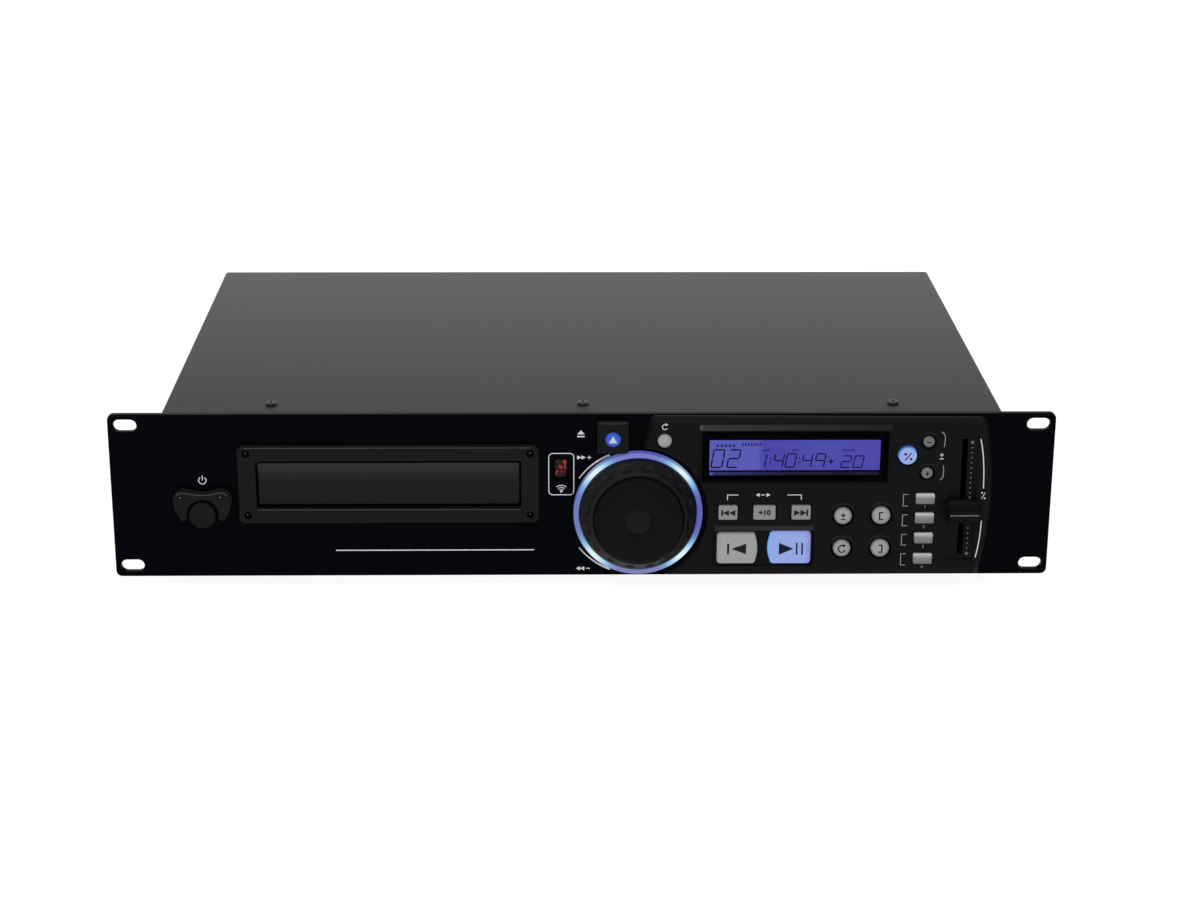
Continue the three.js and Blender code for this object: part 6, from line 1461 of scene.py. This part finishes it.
side_lines = [stroke(bowed(49.1, 75.8), 0.5), stroke(bowed(11.0, 31.3), 0.5)]
side_lines += [circle(204.6, 46.6, 0.45, steps=14), circle(206.1, 43.6, 0.45, steps=14)]
side_lines.append(stroke([(204.4, 43.3), (206.3, 46.9)], 0.32))
ink("side_print", side_lines, face_y, white_ink, "case")

# %% [markdown]
# The sharp rims of black mouldings catch the light as thin pale lines, which are painted on here as highlights. Two
# of them run along the tray frame, one under its top edge and one on the lip below the tray, and a third follows the
# top of the power guard.

# %% Painted highlights along the edges of the mouldings
frame_ridge = level(tray_x - 0.5, tray_z + 19.95, 146.2, 0.4)
frame_lip = level(tray_x, tray_z - 13.5, 134.4, 0.4)
ink("frame_ridge", [frame_ridge, frame_lip], frame_front, painted_edge_highlight, "case")
half_line = [(-13.0, 46.3), (-12.2, 47.2), (-11.2, 47.65), (-9.6, 47.85), (-7.8, 47.7), (-5.8, 47.3),
             (-3.4, 46.8), (0.0, 46.55)]
guard_points = [(power_x + across, z) for across, z in half_line]
guard_points += [(power_x - across, z) for across, z in half_line[-2::-1]]
ink("guard_ridge", [stroke(guard_points, 0.42)], guard_front, painted_edge_highlight, "case")

# %% Painted glints on the screws of guard and frame
# Painted highlights: small pale dots where the screw heads catch the light
glints = [circle(x - 0.2, z + 0.35, 0.28, steps=12) for x, z in guard_holes]
ink("guard_glints", glints, -6.25, grey_ink_and_glint, "case")
screw_glints = [circle(x - 0.25, z + 0.25, 0.24, steps=12) for x, z in frame_screws]
ink("frame_glints", screw_glints, -2.25, grey_ink_and_glint, "case")

# %% Dark signs on the keys
def key_sign(node, outlines, surface, finish=None):
    return ink("sign_" + node[4:], outlines, surface, finish or key_ink, node, 0.03)


print("ink of the signs:", key_ink.name)

# %% Signs of the search and bend keys
for node, side in (("key_search_back", -1), ("key_search_forward", 1)):
    x, z = square_keys[node][:2]
    arrows = [pointer(x + side * off, z, 1.65, side) for off in (1.2, -2.1)]
    key_sign(node, [upright_bar(x + side * 3.1, z, 3.3, 0.95)] + arrows, key_top)
x, z = square_keys["key_skip_ten"][:2]
publish("sign_skip_ten", figures("+10", x, z, 2.8, key_top, 0.17), key_ink, "key_skip_ten")
for node, count in (("key_bend_minus", 1), ("key_bend_plus", 2)):
    x, z = round_keys[node][:2]
    key_sign(node, plus(x, z, 2.4, 0.6)[:count], key_top)

# %% Signs of the four round keys and of the pitch lock
for node, side in (("key_loop_in", -1), ("key_loop_out", 1)):
    x, z = round_keys[node][:2]
    near, far = x - side * 1.0, x + side * 0.9
    key_sign(node, [stroke([(near, z + 1.9), (far, z + 1.9), (far, z - 1.9), (near, z - 1.9)], 0.7)], key_top)
x, z = round_keys["key_reloop"][:2]
turning = [stroke(arc(x, z, 1.9, 60, 340, 22), 0.65), pointer(x + 1.3, z + 1.7, 0.95, 1)]
key_sign("key_reloop", turning, key_top)
x, z = round_keys["key_pitch_range"][:2]
key_sign("key_pitch_range", plus(x, z + 0.7, 2.4, 0.65) + [level(x, z - 1.5, 2.4, 0.65)], key_top)
navy_ink = grained("navy_ink", (0.006, 0.006, 0.03), 0.5, 0.3, 0.01, 0.1, Specular_IOR_Level=0.1)
lock_signs = [circle(lock_x + side * 1.4, lock_z - side * 1.3, 0.7, steps=16) for side in (-1, 1)]
lock_signs.append(stroke([(lock_x - 1.6, lock_z - 2.0), (lock_x + 1.6, lock_z + 2.0)], 0.55))
key_sign("key_pitch_lock", lock_signs, key_top, navy_ink)
print("strokes on the pitch lock:", len(lock_signs))

# %% Signs of the two big keys
cue_arrow = [(cue_x + 4.6, cue_z + 2.9), (cue_x + 4.6, cue_z - 2.9), (cue_x - 3.1, cue_z)]
key_sign("key_cue", [upright_bar(cue_x - 4.7, cue_z, 5.8, 1.1), cue_arrow], big_key_top)
play_arrow = [(play_x + 2.0, play_z), (play_x - 5.5, play_z + 3.3), (play_x - 5.5, play_z - 3.3)]
pause_bars = [upright_bar(play_x + on, play_z, 6.6, 0.85) for on in (3.7, 6.5)]
key_sign("key_play_pause", [play_arrow] + pause_bars, big_key_top, navy_ink)
print("strokes on the play key:", 1 + len(pause_bars))

# %% [markdown]
# ## Finishes for everything inside and at the rear
#
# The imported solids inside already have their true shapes, so they only need their finishes. A circuit board shows
# green lacquer over fine copper tracks, with darker parts standing on it: the height above the board's face decides
# which of the two a point belongs to. Sockets, motors and gears use the plain recipe.

# %% Circuit boards
def board_finish(name, letter, face, side):
    material, shader, place = new_finish(name)
    brick_tones = {"Color1": grey(0.0), "Color2": grey(0.1), "Mortar": grey(1.0)}
    brick_sizes = {"Vector": place.moved(stretch=grey(0.06)), "Scale": 6.0, "Mortar Size": 0.04}
    grid = place.node("ShaderNodeTexBrick", {}, {**brick_sizes, **brick_tones})
    tracks = place.moved(stretch=grey(0.35)).noise(1.4, 1.0)
    lines = (place.maths("ABSOLUTE", tracks - 0.5) * 40.0).clipped()
    lacquer = lines.mixed((0.020, 0.150, 0.060), (0.008, 0.070, 0.028))
    lacquer = (0.25 * grid).mixed(lacquer, (0.03, 0.18, 0.09))
    standing = ((place.part(letter) - face) * side).above(0.25)
    parts = place.noise(9.0).mixed((0.010, 0.010, 0.012), (0.035, 0.032, 0.030))
    set_shader(shader, Base_Color=standing.mixed(lacquer, parts), Roughness=0.32 + 0.2 * standing)
    return material


def dress(node, finish):
    for slot in frame["nodes"][node].material_slots:
        slot.material = finish
    print(node, "finished with", finish.name)


board_rise = 8.6
main_face = panel_box("main_board")[0].z + board_rise
supply_face = panel_box("power_supply")[0].z + board_rise
dress("main_board", board_finish("main_board_finish", "Z", main_face, 1))
dress("power_supply", board_finish("supply_finish", "Z", supply_face, 1))
dress("control_board", board_finish("control_finish", "Y", 13.0, -1))

# %% Motors, gears, deck and sockets
black_module = grained("black_module", (0.006, 0.006, 0.007), 0.6, 0.4, 0.02)
for node, finish in (
    ("power_switch", socket_black), ("jog_hub", socket_black), ("lcd_module", black_module),
    ("pitch_fader_body", deep_black), ("loader_frame", moulded_black), ("tray_drive_gear", nylon),
    ("loader_motor", bright_steel), ("motor_pulley", nylon), ("drive_belt", foot_rubber),
    ("traverse_deck", zinc_plate), ("spindle_motor", bright_steel), ("turntable", moulded_black),
    ("disc_clamp", nylon), ("clamp_bridge", zinc_plate), ("laser_sled", socket_black), ("sled_pinion", nylon),
):
    dress(node, finish)
softened("rear_sockets", "output_jacks", socket_black, 0.15)
softened("mains_socket", "mains_inlet", socket_black, 0.2)

# %% Collars and pins of the rear sockets
jack_red = grained("jack_red", (0.34, 0.015, 0.012), 0.4, 0.3, 0.02, 0.05)
jack_white = grained("jack_white", (0.62, 0.61, 0.58), 0.4, 0.3, 0.02, 0.05)
plated = grained("plated", (0.62, 0.60, 0.56), 0.22, 0.4, 0.01, 0.05, Metallic=1.0)
jack_x, jack_z, jack_rear = 128.0, 44.0, 276.25
jack_pitch = 18.0
# Each point: its radius and how far it stands behind the rear panel
sleeve = [(4.16, 1.2), (4.3, 1.2), (4.3, 9.4), (4.15, 9.72), (2.25, 9.72), (2.25, 8.9), (4.16, 8.9),
          (4.16, 1.2)]
jack_collar = [(4.32, 1.2), (6.2, 1.2), (6.2, 2.0), (5.8, 2.3), (4.32, 2.3), (4.32, 1.2)]
for count, finish, name in ((-1, jack_red, "right"), (0, jack_white, "left"), (1, screw_black, "digital")):
    for kind, profile, tone in (("jack_sleeve_", sleeve, plated), ("jack_collar_", jack_collar, finish)):
        standing = [(radius, jack_rear + off) for radius, off in profile]
        shape = turned_shape(standing, jack_x + count * jack_pitch, jack_z, 48)
        publish(kind + name, shape, tone, "case")

# %% [markdown]
# ## Floor and light
#
# The photograph has a pure white ground and light that seems to come from everywhere, so a broad white surround
# does most of the work. The ground shows hardly any shadow, as on a lit table, so the floor glows by itself and
# reflects only a little. Dark gloss paint mirrors whatever is in front of it: the surround is therefore darker
# towards the camera's side, which keeps the steel front black. A large soft lamp above gives the cover its sheen,
# and a weaker one in front lights the upper edges of frames and keys.

# %% Floor
floor_shape = bmesh.new()
bmesh.ops.create_grid(floor_shape, x_segments=1, y_segments=1, size=6.0)
floor_mesh = bpy.data.meshes.new("floor")
floor_shape.to_mesh(floor_mesh)
floor_shape.free()
floor = bpy.data.objects.new("floor", floor_mesh)
bpy.context.scene.collection.objects.link(floor)
floor_white, shader, place = new_finish("floor_white")
set_shader(shader, Base_Color=place.noise(300.0).mixed(grey(0.21), grey(0.23)))
set_shader(shader, Roughness=0.9 + 0.05 * place.noise(80.0), Specular_IOR_Level=0.0)
set_shader(shader, Emission_Color=grey(1.0), Emission_Strength=0.88)
floor_mesh.materials.append(floor_white)
print("floor laid")

# %% Surround and lamps
world = bpy.data.worlds.new("surround")
bpy.context.scene.world = world
world.use_nodes = True
sky = world.node_tree.nodes["Background"]
direction = Socket(world.node_tree, world.node_tree.nodes.new("ShaderNodeTexCoord").outputs["Generated"])
behind = (direction.part("Y") * 0.5 + 0.5).clipped()
plug(world.node_tree, sky.inputs["Color"], behind.mixed((0.58, 0.58, 0.59), (1.0, 1.0, 1.0)))
sky.inputs["Strength"].default_value = 1.02


def lamp(name, place, aim, width, depth, power):
    light = bpy.data.lights.new(name, "AREA")
    light.shape = "RECTANGLE"
    light.size = width
    light.size_y = depth
    light.energy = power
    holder = bpy.data.objects.new(name, light)
    towards = Vector(aim) - Vector(place)
    holder.matrix_world = Matrix.Translation(place) @ towards.to_track_quat("-Z", "Y").to_matrix().to_4x4()
    bpy.context.scene.collection.objects.link(holder)
    print(name, "lamp,", power, "W")


lamp("overhead", (0.25, 0.9, 1.7), (0.0, 0.05, 0.05), 1.8, 1.2, 16)
lamp("front_top", (-0.3, -1.2, 1.6), (0.0, -0.1, 0.05), 1.2, 0.6, 10)
bpy.context.scene.view_settings.view_transform = "Standard"
